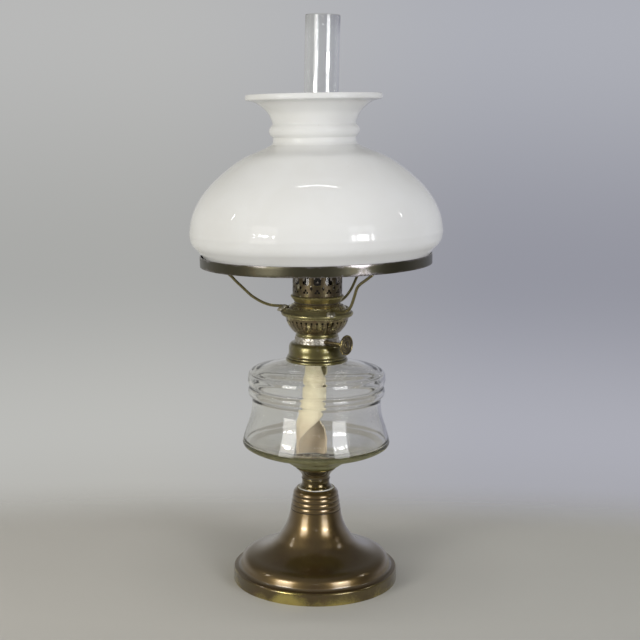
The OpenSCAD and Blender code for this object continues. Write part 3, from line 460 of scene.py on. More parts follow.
sootAndShadeBrass = brassFinish("sootAndShadeBrass", {
    "metal": (0.20, 0.16, 0.08), "patina": (0.032, 0.026, 0.018), "tarnish": (0.05, 0.032, 0.02), "tarnishShare": 0.6,
    "dirt": (0.012, 0.010, 0.008), "dirtShare": 0.8, "blotch": 0.007, "speck": 0.0010, "speckle": 0.2, "edgeWear": 0.5,
    "wornRange": (0.56, 0.8), "metallic": 0.6, "rough": (0.55, 0.4), "roughVary": 0.1, "coat": 0.0, "coatRough": 0.15,
    "dents": 0.005, "dentDepth": 0.2, "grain": 0.2, "lines": 0.0,
})
galleryBrass = brassFinish("galleryBrass", {
    "metal": (0.74, 0.70, 0.55), "patina": (0.098, 0.074, 0.042), "tarnish": (0.17, 0.145, 0.055), "tarnishShare": 0.75,
    "dirt": (0.02, 0.016, 0.012), "dirtShare": 0.8, "blotch": 0.0062, "speck": 0.0010, "speckle": 0.2, "edgeWear": 0.6,
    "wornRange": (0.60, 0.70), "metallic": 0.85, "rough": (0.36, 0.28), "roughVary": 0.1, "coat": 0.08, "coatRough": 0.15,
    "dents": 0.005, "dentDepth": 0.3, "grain": 0.1, "lines": 0.0, "sootAndShadeInside": 0.97,
    # painted reflection: the lower lip under this height gets a lighter olive tone, as the pale floor shows in it
    "below": (0.3062, (0.33, 0.28, 0.12)),
})
holderBrass = brassFinish("holderBrass", {
    "metal": (0.48, 0.43, 0.21), "patina": (0.215, 0.185, 0.085), "tarnish": (0.17, 0.12, 0.055), "tarnishShare": 0.3,
    "dirt": (0.045, 0.035, 0.02), "dirtShare": 0.7, "blotch": 0.017, "speck": 0.0011, "speckle": 0.1, "edgeWear": 0.5,
    "wornRange": (0.5, 0.9), "metallic": 0.85, "rough": (0.3, 0.24), "roughVary": 0.08, "coat": 0.1, "coatRough": 0.15,
    "dents": 0.006, "dentDepth": 0.2, "grain": 0.06, "lines": 0.05,
})
knobBrass = brassFinish("knobBrass", {
    "metal": (0.44, 0.35, 0.14), "patina": (0.118, 0.094, 0.052), "tarnish": (0.10, 0.065, 0.035), "tarnishShare": 0.5,
    "dirt": (0.03, 0.024, 0.016), "dirtShare": 0.85, "blotch": 0.008, "speck": 0.0009, "speckle": 0.2, "edgeWear": 0.6,
    "wornRange": (0.52, 0.85), "metallic": 0.8, "rough": (0.32, 0.22), "roughVary": 0.1, "coat": 0.1, "coatRough": 0.15,
    "dents": 0.005, "dentDepth": 0.15, "grain": 0.1, "lines": 0.0,
})
ringBrass = brassFinish("ringBrass", {
    "metal": (0.42, 0.385, 0.39), "patina": (0.080, 0.073, 0.046), "tarnish": (0.10, 0.078, 0.042), "tarnishShare": 0.6,
    "dirt": (0.03, 0.026, 0.02), "dirtShare": 0.6, "blotch": 0.015, "speck": 0.0013, "speckle": 0.2, "edgeWear": 0.7,
    "wornRange": (0.66, 1.05), "metallic": 0.8, "rough": (0.3, 0.2), "roughVary": 0.1, "coat": 0.1, "coatRough": 0.12,
    "dents": 0.012, "dentDepth": 0.15, "grain": 0.08, "lines": 0.05,
    # painted highlight: a brighter patch on the ring's front right, where the right lamp's reflection falls
    "wornAndHighlightSpots": [((0.044, -0.112, 0.345), 0.024, 0.34)],
})
tinned = brassFinish("tinnedBrass", {
    "metal": (0.62, 0.59, 0.53), "patina": (0.34, 0.31, 0.25), "tarnish": (0.16, 0.11, 0.06), "tarnishShare": 0.85,
    "dirt": (0.07, 0.05, 0.035), "dirtShare": 0.8, "blotch": 0.0048, "speck": 0.0008, "speckle": 0.3, "edgeWear": 0.4,
    "wornRange": (0.42, 0.62), "metallic": 0.7, "rough": (0.48, 0.34), "roughVary": 0.15, "coat": 0.0, "coatRough": 0.2,
    "dents": 0.002, "dentDepth": 0.7, "grain": 0.3, "lines": 0.0,
})
solder = brassFinish("solder", {
    "metal": (0.58, 0.55, 0.46), "patina": (0.26, 0.235, 0.17), "tarnish": (0.2, 0.16, 0.09), "tarnishShare": 0.6,
    "dirt": (0.09, 0.07, 0.05), "dirtShare": 0.5, "blotch": 0.0035, "speck": 0.0007, "speckle": 0.3, "edgeWear": 0.4,
    "wornRange": (0.45, 0.65), "metallic": 0.6, "rough": (0.5, 0.36), "roughVary": 0.12, "coat": 0.0, "coatRough": 0.2,
    "dents": 0.002, "dentDepth": 0.5, "grain": 0.3, "lines": 0.0,
})


def plasterFinish():
    material, tree, shader, _ = newFinish("plaster")
    place = addNode(tree, "ShaderNodeTexCoord").outputs["Object"]
    stains = remap(tree, noise(tree, place, 0.006, 5.0, 0.6), 0.45, 0.75)
    tree.links.new(mixColour(tree, stains, (0.86, 0.85, 0.81), (0.66, 0.62, 0.53)), shader.inputs["Base Color"])
    shader.inputs["Roughness"].default_value = 0.9
    tree.links.new(bump(tree, noise(tree, place, 0.0007, 5.0, 0.7), 0.5, 0.0003), shader.inputs["Normal"])
    return material


def glassFinish(name, look):
    # clear glass with a faint body colour, slow waves from the mould and small seeds
    material, tree, shader, output = newFinish(name)
    place = addNode(tree, "ShaderNodeTexCoord").outputs["Object"]
    film = remap(tree, noise(tree, place, look["film"], 5.0, 0.6, 0.3), 0.4, 0.75)
    clearness = mixColour(tree, film, look["colour"], look["filmColour"])
    if "sootAndShadeHeights" in look:  # darker under a height: soot, and painted shade
        height = addNode(tree, "ShaderNodeSeparateXYZ", {0: place}).outputs[2]
        clearness = mixColour(tree, remap(tree, height, *look["sootAndShadeHeights"], 1.0, 0.0), clearness, look["sootAndShadeColour"])
    tree.links.new(clearness, shader.inputs["Base Color"])
    shader.inputs["Roughness"].default_value = look["rough"]
    shader.inputs["IOR"].default_value = 1.5
    shader.inputs["Transmission Weight"].default_value = 1.0
    waves = noise(tree, place, look["waves"], 2.0, 0.5)
    seeds = addNode(tree, "ShaderNodeTexVoronoi", {"Vector": place, "Scale": 1 / look["seedSpacing"]}).outputs["Distance"]
    seeds = remap(tree, seeds, 0.03, 0.07, 1.0, 0.0)
    normal = bump(tree, seeds, 0.6, 0.0003, bump(tree, waves, look["waveStrength"], 0.001))
    tree.links.new(normal, shader.inputs["Normal"])
    if "foot" in look:  # painted view: the outer side that faces down shows the cup and the ground through thick glass, so it gets a nearly solid painted tone, with the cup's darker brass painted under a height
        normal = addNode(tree, "ShaderNodeNewGeometry").outputs["Normal"]
        down = remap(tree, addNode(tree, "ShaderNodeSeparateXYZ", {0: normal}).outputs[2], -0.5, -0.05, look["footShare"], 0.0)
        low = remap(tree, addNode(tree, "ShaderNodeSeparateXYZ", {0: place}).outputs[2], *look["foot"], 1.0, 0.0)
        cup = remap(tree, addNode(tree, "ShaderNodeSeparateXYZ", {0: place}).outputs[2], *look["cup"], 1.0, 0.0)
        tone = mixColour(tree, cup, mixColour(tree, film, look["footColour"], look["footFilm"]), look["paintedCupColour"])
        paintedView = addNode(tree, "ShaderNodeBsdfDiffuse", {"Color": tone})
        mixed = addNode(tree, "ShaderNodeMixShader", {0: mathNode(tree, "MULTIPLY", down, low), 1: shader.outputs[0], 2: paintedView.outputs[0]})
        tree.links.new(mixed.outputs[0], output.inputs["Surface"])
    if look.get("body"):
        volume = addNode(tree, "ShaderNodeVolumeAbsorption", {"Color": (*look["body"], 1), "Density": look["density"]})
        tree.links.new(volume.outputs[0], output.inputs["Volume"])
    return material


def opalFinish():
    # white glass, denser in slow clouds, with a hard gloss and a few pits
    material, tree, shader, _ = newFinish("opalGlass")
    place = addNode(tree, "ShaderNodeTexCoord").outputs["Object"]
    clouds = remap(tree, noise(tree, place, 0.05, 4.0, 0.5, 0.5), 0.3, 0.7)
    colour = mixColour(tree, clouds, (0.75, 0.746, 0.724), (0.775, 0.775, 0.76))
    pits = addNode(tree, "ShaderNodeTexVoronoi", {"Vector": place, "Scale": 42.0}).outputs["Distance"]
    pits = remap(tree, pits, 0.012, 0.03, 1.0, 0.0)
    colour = mixColour(tree, mathNode(tree, "MULTIPLY", pits, 0.5), colour, (0.55, 0.52, 0.46))
    tree.links.new(colour, shader.inputs["Base Color"])
    smudge = remap(tree, noise(tree, place, 0.03, 6.0, 0.6), 0.45, 0.8, 0.012, 0.035)
    tree.links.new(smudge, shader.inputs["Roughness"])
    shader.inputs["IOR"].default_value = 1.5
    shader.inputs["Specular IOR Level"].default_value = 0.15
    shader.inputs["Subsurface Weight"].default_value = 0.12
    shader.inputs["Subsurface Radius"].default_value = (0.004, 0.004, 0.0036)
    shader.inputs["Subsurface Scale"].default_value = 1.0
    waves = noise(tree, place, 0.035, 2.0, 0.5)
    tree.links.new(bump(tree, pits, -0.4, 0.0003, bump(tree, waves, 0.03, 0.002)), shader.inputs["Normal"])
    return material


plaster = plasterFinish()
fontGlass = glassFinish("fontGlass", {
    "colour": (0.975, 0.972, 0.952), "filmColour": (0.955, 0.948, 0.91), "film": 0.02, "rough": 0.008,
    "waves": 0.02, "waveStrength": 0.08, "seedSpacing": 0.012, "body": (0.60, 0.60, 0.30), "density": 3.0,
    # these keys paint the view of the cup and the ground through the glass's underside
    "foot": (0.146, 0.151), "footShare": 0.66, "footColour": (0.31, 0.30, 0.16), "footFilm": (0.17, 0.16, 0.07),
    "cup": (0.1240, 0.1268), "paintedCupColour": (0.14, 0.135, 0.03),
})
chimneyGlass = glassFinish("chimneyGlass", {
    "colour": (0.985, 0.988, 0.985), "filmColour": (0.97, 0.972, 0.966), "film": 0.03, "rough": 0.004,
    # the chimney's foot inside the gallery is darkened: soot, and painted shade that keeps the gallery's openings dark
    "waves": 0.03, "waveStrength": 0.03, "seedSpacing": 0.03, "sootAndShadeHeights": (0.322, 0.350), "sootAndShadeColour": (0.58, 0.54, 0.48),
})
opalGlass = opalFinish()
print("finishes made")

# ---- floor -------------------------------------------------------------------


def makeFloor():
    # disc whose colour passes into the background with the distance from the lamp, painted lighter and warmer to the
    # left
    turn = np.linspace(0, 2 * math.pi, 96, endpoint=False)
    r = np.array([0.02, 0.3, 0.6, 1.0, 1.6, studio["floorRadius"]]) * 1000
    points = np.stack([r[:, None] * np.cos(turn), r[:, None] * np.sin(turn), r[:, None] * 0 - 0.02 + 0 * turn], -1).reshape(-1, 3)
    points = np.vstack([points, [[0, 0, -0.02]]])
    k = np.arange(96)
    faces = [gridFaces(6, 96, False, True)[:, ::-1], np.stack([k * 0 + len(points) - 1, k, (k + 1) % 96], -1)]
    material, tree, shader, output = newFinish("floorPaper")
    place = addNode(tree, "ShaderNodeTexCoord").outputs["Object"]
    mottle = noise(tree, place, 0.25, 3.0, 0.5)
    across = addNode(tree, "ShaderNodeSeparateXYZ", {0: place}).outputs[0]
    # painted light: the floor's tone goes from the lighter left to the greyer right
    tone = mixColour(tree, remap(tree, across, -0.35, 0.35), *studio["floor"])
    tone = mixColour(tree, mathNode(tree, "MULTIPLY", mottle, 0.05), tone, (0, 0, 0))
    tree.links.new(tone, shader.inputs["Base Color"])
    shader.inputs["Roughness"].default_value = 0.75
    shader.inputs["Specular IOR Level"].default_value = 0.15
    flattened = addNode(tree, "ShaderNodeVectorMath", {0: place, 1: (0.3, 1, 1)}, operation="MULTIPLY").outputs[0]
    away = addNode(tree, "ShaderNodeVectorMath", {0: flattened}, operation="LENGTH").outputs["Value"]
    share = remap(tree, away, *studio["floorFade"])
    clear = addNode(tree, "ShaderNodeBsdfTransparent")
    mixed = addNode(tree, "ShaderNodeMixShader", {0: share, 1: shader.outputs[0], 2: clear.outputs[0]})
    tree.links.new(mixed.outputs[0], output.inputs["Surface"])
    floor = meshPiece("floor", points, faces, material)
    return floor


makeFloor()

# ---- foot and stem -----------------------------------------------------------

foot = {
    "edgeRadius": 87.4, "height": 99.2, "bandHeight": 12.4, "ledge": 7.8, "turnedIn": 6.0, "wall": 1.2,
    "neckRadius": 26.7, "mouthRadius": 18.6, "shoulderHeight": 7.4,
    "beads": 3, "beadHeight": 5.2, "beadOut": 0.85,
    "flare": [
        (1, 0), (1.003, 0.044), (0.992, 0.092), (0.962, 0.137), (0.913, 0.177), (0.8375, 0.206), (0.701, 0.234), (0.569, 0.275),
        (0.442, 0.334), (0.35, 0.394), (0.274, 0.458), (0.2025, 0.545), (0.131, 0.64), (0.068, 0.755), (0.027, 0.88), (0, 1),
    ],
}


def footLine():
    # upright band, small ledge, flare, beads with narrow grooves and the mouth's shoulder
    edge, band, neck, height = foot["edgeRadius"], foot["bandHeight"], foot["neckRadius"], foot["height"]
    beadZ = height - foot["shoulderHeight"] - foot["beads"] * foot["beadHeight"]
    top = neck - 3
    roll = edge - foot["ledge"]
    bandLine = rounded([(edge, 0), (edge, band - 0.4), (edge - 1.0, band + 0.7)], 0.9, False)
    ledge = smoothLine([
        (edge - 1.9, band + 0.8), (edge - 4.2, band + 1.0), (roll + 2.0, band + 1.6), (roll + 0.9, band + 2.9), (roll + 0.3, band + 5.0),
    ], 4)
    flare = smoothLine(stretched(foot["flare"], (neck, band + 2), (roll, beadZ - 0.5)), 4)[8:]
    t = np.linspace(0, foot["beads"], foot["beads"] * 12 + 1)[:-1]
    share, inBead = t / foot["beads"], t % 1
    out = foot["beadOut"] * (np.sin(math.pi * inBead) ** 0.6) - 0.25
    beads = np.stack([neck - 0.5 + (top - neck + 0.5) * share + out, beadZ + foot["beads"] * foot["beadHeight"] * share], 1)
    shoulder = smoothLine([
        (top - 0.3, height - 7.4), (top + 0.3, height - 6.3), (top + 0.1, height - 4.9), (top - 0.8, height - 3.2),
        (top - 2.2, height - 1.7), (foot["mouthRadius"] + 1.9, height - 0.5), (foot["mouthRadius"] + 0.9, height - 0.1),
    ], 4)
    return np.vstack([bandLine, ledge, flare, beads, shoulder])


def makeFoot():
    line = footLine()
    inside = besideLine(line, foot["wall"])[2:]
    rim = [
        (foot["edgeRadius"] - foot["wall"], foot["wall"]), (foot["edgeRadius"] - foot["turnedIn"], foot["wall"]),
        (foot["edgeRadius"] - foot["turnedIn"], 0.05),
    ]
    mouth = [(foot["mouthRadius"], foot["height"] - foot["wall"] / 2)]
    outline = np.vstack([line, mouth, inside[::-1], rim])
    piece = turned("footShell", outline, darkBrass, sides=224, shape=wavy(3, 0.10, 1, 98), reach=1.6)
    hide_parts("foot")
    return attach(piece, "root")


stem = {
    "footZ": 99.4, "cupZ": 122.2, "waist": 14.7, "cup": 21.8, "tail": 9.0, "tailLength": 42.0,
    "socket": 14.6, "socketFoot": 10.376, "socketZ": 102.8,
    "cupLine": [(0, 0), (0, 0.12), (0.1, 0.34), (0.34, 0.56), (0.63, 0.76), (0.89, 0.91), (1, 1)],
}


def makeStem():
    # base roll, plain neck between two cut lines, then the cup under the font
    z, w = stem["footZ"], stem["waist"]
    neck = smoothLine([(17.2, z), (16.7, z + 1.2), (w + 0.75, z + 2.9), (w + 0.1, z + 5.4), (w, z + 7.2)], 4)
    cuts = [(w, z + 8.9), (w - 0.35, z + 9.1), (w - 0.35, z + 9.5), (w + 0.5, z + 9.7), (w + 0.55, z + 10.5), (w + 0.1, z + 10.7)]
    cup = smoothLine(stretched(stem["cupLine"], (w, z + 11.0), (stem["cup"], stem["cupZ"] - 0.9)), 4)
    lip = [(stem["cup"] + 0.05, stem["cupZ"] - 0.4), (stem["cup"] - 0.4, stem["cupZ"])]
    outline = np.vstack([
        [(0, z - stem["tailLength"]), (stem["tail"], z - stem["tailLength"]), (stem["tail"], z)],
        neck, cuts, cup, lip,
        [(stem["socket"], stem["cupZ"]), (stem["socketFoot"], stem["socketZ"]), (0, stem["socketZ"])],
    ])
    piece = turned("stemTurned", rounded(outline, 0.18, False), agedBrass, sides=128, closed=False, reach=0.9)
    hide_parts("stem")
    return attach(piece, "root")


makeFoot()
makeStem()
for plasterNode in ("foot_plaster", "stem_plaster", "collar_plaster"):
    nodes[plasterNode].data.materials[0] = plaster
print("foot and stem made")

# ---- font and collar ---------------------------------------------------------

font = {
    "foot": 122.2, "height": 114.5, "radius": 77.7, "waist": 67.8, "rib": 72.3, "shoulder": 66.6, "wall": 4.0,
    "mouth": 22.2, "neckHeight": 11.3, "neckOuter": 26.7, "flange": 32.6, "peg": 13.2, "pegLength": 18.0, "floor": 0.075,
}


def fontLines():
    # outer line from the peg to the neck and inner line from the mouth to the floor; heights are shares of the font's
    R, w, b, s, t = font["radius"], font["waist"], font["rib"], font["shoulder"], font["wall"]
    at = lambda rows: [(r, font["foot"] + font["height"] * share) for r, share in rows]
    low = smoothLine(at([(21.2, 0), (24.5, 0.012), (28, 0.033), (31.9, 0.056), (35.3, 0.076), (40.5, 0.098), (46.5, 0.118)]), 3)
    body = smoothLine(at([
        (46.5, 0.118), (0.69 * R, 0.136), (0.775 * R, 0.152), (0.857 * R, 0.171), (0.925 * R, 0.193), (0.966 * R, 0.21),
        (0.989 * R, 0.224), (R, 0.243), (R - 0.5, 0.266), (w + 8.2, 0.309), (w + 6.2, 0.367), (w + 3.5, 0.435),
        (w + 1.7, 0.4925), (w + 0.6, 0.549), (w, 0.605), (w, 0.668),
    ]), 4)
    ribs = smoothLine(at([
        (w + 0.8, 0.674), (b - 1.2, 0.692), (b - 0.4, 0.718), (b - 0.9, 0.744), (b - 2.4, 0.767), (b - 0.8, 0.787),
        (b, 0.815), (b, 0.85), (b - 0.4, 0.876), (b - 1.7, 0.9), (s + 1.6, 0.915), (s, 0.921),
    ]), 5)
    top = smoothLine(at([(s - 0.6, 0.9225), (0.86 * s, 0.942), (0.68 * s, 0.972), (font["flange"], 1)]), 5)
    neckTop = font["foot"] + font["height"] + font["neckHeight"]
    neck = [(font["neckOuter"], font["foot"] + font["height"]), (font["neckOuter"], neckTop), (font["mouth"], neckTop)]
    # inner wall r(z): mean of the outer radius within 5 mm of the height z, less the glass
    outer = np.vstack([body, ribs])
    heights = np.linspace(font["foot"] + 0.9 * font["height"], font["foot"] + 0.285 * font["height"], 60)
    near = heights[:, None] + np.linspace(-5, 5, 21)[None, :]
    start = np.argmax(outer[:, 0] >= R - 0.05)
    radii = np.interp(near, outer[start:, 1], outer[start:, 0])
    weight = np.hanning(23)[1:-1]
    wallLine = np.stack([(radii * weight).sum(1) / weight.sum() - 3.3, heights], 1)
    over = smoothLine(at([(font["mouth"], 0.985), (font["flange"] - 1, 0.966), (0.68 * s, 0.939), (0.86 * s, 0.9095), (s - 4.6, 0.895)]), 4)
    floor = smoothLine(at([
        (R - 3.9, 0.262), (R - 4.6, 0.249), (R - 6.2, 0.236), (R - 9.2, 0.224), (0.8 * R, 0.204), (0.72 * R, 0.186),
        (0.63 * R, 0.168), (0.53 * R, 0.146), (0.43 * R, 0.118), (0.31 * R, font["floor"] + 0.006), (0.16 * R, font["floor"] + 0.002), (0, font["floor"]),
    ]), 4)
    inner = np.vstack([over, wallLine[2:], floor])
    peg = [(0, font["foot"] - font["pegLength"]), (font["peg"] * 0.68 - 0.05, font["foot"] - font["pegLength"] + 0.05), (font["peg"] - 0.05, font["foot"] - 0.02)]
    return np.vstack([peg, low, body[1:], ribs, top, neck, inner])


def makeFont():
    def hand(points):
        # mould seams at three turns, and a slow unevenness of the walls
        turn, r = np.arctan2(points[:, 1], points[:, 0]), np.hypot(points[:, 0], points[:, 1])
        high = np.clip((points[:, 2] - 140) / 6, 0, 1) * np.clip((228 - points[:, 2]) / 4, 0, 1)
        seam = 0.16 * np.exp(-((np.minimum(np.abs((turn - 0.6) % 2.094), 2.094 - np.abs((turn - 0.6) % 2.094)) * r / 0.7) ** 2)) * (r > 62)
        grown = 1 + high * (seam + wave(turn, points[:, 2], 11, 0.12)) / np.maximum(r, 1)
        return points * np.stack([grown, grown, np.ones_like(grown)], 1)

    piece = turned("fontGlassware", fontLines(), fontGlass, sides=256, closed=False, shape=hand, sharpAngle=60)
    piece.visible_shadow = False  # light reaches what stands in the glass
    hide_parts("font")
    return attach(piece, "root")


collar = {"foot": 236.7, "top": 256.6, "flange": 32.6, "wallRadius": 29.5, "wall": 1.4, "bore": 21.8, "seat": 249.0}


def makeCollar():
    # rolled flange with a groove over it, straight wall and a rounded shoulder
    z, top, f, w = collar["foot"], collar["top"], collar["flange"], collar["wallRadius"]
    flange = smoothLine([(f - 0.5, z), (f - 0.05, z + 0.7), (f, z + 1.6), (f - 0.4, z + 2.5), (f - 1.1, z + 3.2)], 3)
    sweep = smoothLine([(f - 1.3, z + 3.9), (w + 1.7, z + 4.9), (w + 0.45, z + 6.6), (w + 0.05, z + 9.0), (w, z + 11.5)], 4)
    shoulder = smoothLine([(w - 0.1, top - 4.9), (w - 0.75, top - 2.6), (w - 2.0, top - 0.9), (w - 3.7, top - 0.1)], 5)
    outline = np.vstack([
        [(w - collar["wall"], z)], flange, [(f - 1.9, z + 3.3)], sweep, shoulder,
        [(w - 4.3, top), (collar["bore"], top), (collar["bore"], collar["seat"]), (w - collar["wall"], collar["seat"])],
    ])
    piece = turned("collarTurned", rounded(outline, 0.2), collarBrass, sides=160, shape=wavy(5, 0.05), reach=0.8)
    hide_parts("collar")
    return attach(piece, "root")


makeFont()
makeCollar()
print("font and collar made")

# ---- burner ------------------------------------------------------------------

burner = {
    "ringFoot": 256.6, "bandFoot": 263.0, "basketFoot": 266.6, "deckFoot": 283.8, "neckFoot": 298.2, "sieve": 303.0,
    "ringRadius": 23.4, "ringBore": 20.6, "tailOuter": 21.5, "tail": 9.6, "floor": 251.0, "floorThick": 1.0, "tube": 12.0,
    "basket": 33.2, "sheet": 0.6, "neckRadius": 23.2, "hubSeat": 31.3,
}


def makeTinnedRing():
    # the CAD's outline with an uneven, dribbled coat of tin on its outer side
    z, top, r = burner["ringFoot"], burner["bandFoot"], burner["ringRadius"]
    wall = np.stack([r - 0.1 - 0.55 * np.linspace(0, 1, 14) ** 2, np.linspace(z + 0.25, top - 0.3, 14)], 1)
    outline = np.vstack([
        [(burner["tailOuter"], z), (r - 0.3, z)], wall, [(r - 1.0, top), (burner["ringBore"], top), (burner["ringBore"], burner["floor"] + 1)],
        [(burner["tube"], burner["floor"] + 1), (burner["tube"], burner["floor"]), (burner["tailOuter"] - 1.2, burner["floor"])],
        [(burner["tailOuter"] - 1.2, z - burner["tail"]), (burner["tailOuter"], z - burner["tail"])],
    ])

    def dribbled(points):
        turn, radius = np.arctan2(points[:, 1], points[:, 0]), np.hypot(points[:, 0], points[:, 1])
        outside = (radius > r - 1.4) * np.clip((points[:, 2] - z) / 0.6, 0, 1) * np.clip((top - 0.1 - points[:, 2]) / 0.6, 0, 1)
        lumps = 0.16 * np.sin(9 * turn + 1.1 * points[:, 2]) * np.sin(14 * turn - 0.7 * points[:, 2] + 1) + 0.1 * np.sin(31 * turn + 2.3 * points[:, 2])
        grown = 1 + outside * (lumps - 0.12) / np.maximum(radius, 1)
        return points * np.stack([grown, grown, np.ones_like(grown)], 1)

    piece = turned("tinnedRing", outline, tinned, sides=288, shape=dribbled)
    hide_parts("base_ring")
    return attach(piece, "burner")


def makeBand():
    # brass band with a bead at its foot and a waist under the basket
    z, r = burner["bandFoot"], burner["ringRadius"]
    outer = smoothLine([(r - 0.95, z), (r - 0.72, z + 0.45), (r - 0.95, z + 1.0), (r - 1.35, z + 1.9), (r - 1.6, z + 2.8), (r - 1.9, z + 3.6)], 4)
    outline = np.vstack([outer, [(burner["ringBore"], z + 3.6), (burner["ringBore"], z)]])
    piece = turned("brassBand", outline, collarBrass, sides=128)
    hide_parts("base_band")
    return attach(piece, "burner")


def makeDeck():
    # pressed cone with a bead round its top edge, then the neck that carries the gallery
    z, neckZ, n = burner["deckFoot"], burner["neckFoot"], burner["neckRadius"]
    line = np.vstack([
        [(burner["basket"], z)],
        smoothLine([(burner["basket"], z + 1.2), (burner["basket"] - 0.05, z + 2.2), (burner["hubSeat"] - 0.1, z + 7.6), (burner["hubSeat"] - 0.9, z + 9.0)], 3),
        smoothLine([(n + 4.4, neckZ - 2.6), (n + 2.6, neckZ - 1.6), (n + 2.0, neckZ - 1.0), (n + 1.7, neckZ - 0.5), (n + 1.0, neckZ - 0.25), (n + 0.45, neckZ + 0.1), (n, neckZ + 1.0)], 4),
        [(n, burner["sieve"])],
    ])
    outline = np.vstack([line, besideLine(line, burner["sheet"])[::-1]])
    piece = turned("deckPressed", outline, burnerBrass, sides=160, reach=0.8)
    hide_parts("deck")
    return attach(piece, "burner")


makeTinnedRing()
makeBand()
makeDeck()
for brassNode in ("air_basket", "shaft_bush", "spiked_wheels", "winder_shaft"):
    nodes[brassNode].data.materials[0] = burnerBrass
# soot, and painted shade: the sieve plate and the tubes inside the gallery are darkened near to black, as light comes
# in through the chimney glass, which casts no shadow
for sootAndShadeNode in ("sieve_plate", "wick_tube", "draught_tube"):
    nodes[sootAndShadeNode].data.materials[0] = sootAndShadeBrass
nodes["gallery"].data.materials[0] = galleryBrass

winder = {
    "angle": -38.0, "offset": 10.3, "height": 259.5, "reach": 46.8, "shaft": 1.5, "knob": 10.4, "knobThick": 1.8, "milling": 72,
}


def alongShaft(points):
    # from the winder's own frame, whose axis is Z, to the lamp's: (x, y, z) goes to (z, y - offset, height - x), then turns
    a = math.radians(winder["angle"])
    x, y, z = points[:, 2], points[:, 1] - winder["offset"], winder["height"] - points[:, 0]
    return np.stack([x * math.cos(a) - y * math.sin(a), x * math.sin(a) + y * math.cos(a), z], 1)


def makeKnob():
    # dished disc with a milled rim, rings in its face and the riveted end of the shaft
    s, k, t = winder["shaft"], winder["knob"], winder["knobThick"]
    face = smoothLine([(k - 1.5, t + 0.05), (k - 1.9, t - 0.45), (k - 2.6, t - 0.55), (k - 3.2, t - 0.25), (k - 3.8, t - 0.25), (k - 4.4, t - 0.5), (s + 4.2, t - 0.5), (s + 3.8, t - 0.1), (s + 3.2, t - 0.1), (s + 2.7, t - 0.5), (s + 1.5, t - 0.5), (s + 1.2, t - 0.1), (s + 0.7, t + 0.1)], 3)
    outline = np.vstack([
        [(0, -2.4), (s + 1.4, -2.4), (s + 1.4, -0.3), (s + 1.9, 0), (k - 1.6, 0), (k - 0.7, 0.05), (k - 0.1, 0.5), (k, 1.0), (k - 0.05, t), (k - 0.5, t + 0.32), (k - 1.0, t + 0.35)],
        face, [(0.6, t + 0.25), (0, t + 0.3)],
    ])

    def milled(points):
        turn, r = np.arctan2(points[:, 1], points[:, 0]), np.hypot(points[:, 0], points[:, 1])
        grown = 1 - 0.014 * (r > k - 0.4) * (0.5 + 0.5 * np.cos(winder["milling"] * turn))
        points = points * np.stack([grown, grown, np.ones_like(grown)], 1)
        return alongShaft(points + np.array([0, 0, winder["reach"] - t]))

    piece = turned("knobDisc", outline, knobBrass, sides=288, closed=False, shape=milled, reach=0.5)
    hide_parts("winder_knob")
    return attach(piece, "winder")


makeKnob()
print("burner made")

# ---- wick --------------------------------------------------------------------

wick = {
    "width": 57.0, "thickness": 2.0, "foot": 131.99, "top": 316.4, "closedRadius": 10.0, "openRadius": 15.3,
    "gap": -50.0, "straight": 241.0, "shift": (-4.8, -2.2), "wheelFace": 5.8, "wheelRadius": 4.2, "shaftZ": 259.5, "travel": 9.0,
}


def ease(a, b, x):
    s = np.clip((x - a) / (b - a), 0, 1)
    return s * s * (3 - 2 * s)


def wickPoints(across, heights):
    # a tape curled round a centre that drifts, with its gap turning to the right above and to the left at the foot
    s, z = np.meshgrid(across, heights)
    foot, straight = wick["foot"], wick["straight"]
    opened = 0.4 * (1 - ease(foot + 67, straight, z)) + 0.6 * (1 - ease(foot + 35, foot + 61, z))
    r = wick["closedRadius"] + (wick["openRadius"] - wick["closedRadius"]) * opened
    gap = wick["gap"] + 75 * (1 - ease(foot + 73, straight - 4, z)) - 100 * (1 - ease(foot + 13, foot + 57, z))
    angle = np.radians(gap + 180) + (s - 0.5) * wick["width"] / r
    rippled = r + 0.22 * np.sin(z * 0.55 + 5 * s) * opened
    x = wick["shift"][0] * opened + rippled * np.cos(angle)
    y = wick["shift"][1] * opened + rippled * np.sin(angle)
    a = math.radians(winder["angle"])
    towards = np.array([math.sin(a), -math.cos(a)])
    low, high = wick["shaftZ"] - wick["wheelRadius"], wick["shaftZ"] + wick["wheelRadius"]
    dent = ease(low - wick["travel"] - 3, low - wick["travel"] - 0.6, z) * (1 - ease(high + 0.6, high + 6, z))
    limit = wick["wheelFace"] + (1 - dent) * (2 * wick["openRadius"] - wick["wheelFace"])
    past = np.maximum(x * towards[0] + y * towards[1] - limit + 1.1, 0)
    return np.stack([x - past * towards[0], y - past * towards[1], z], -1)


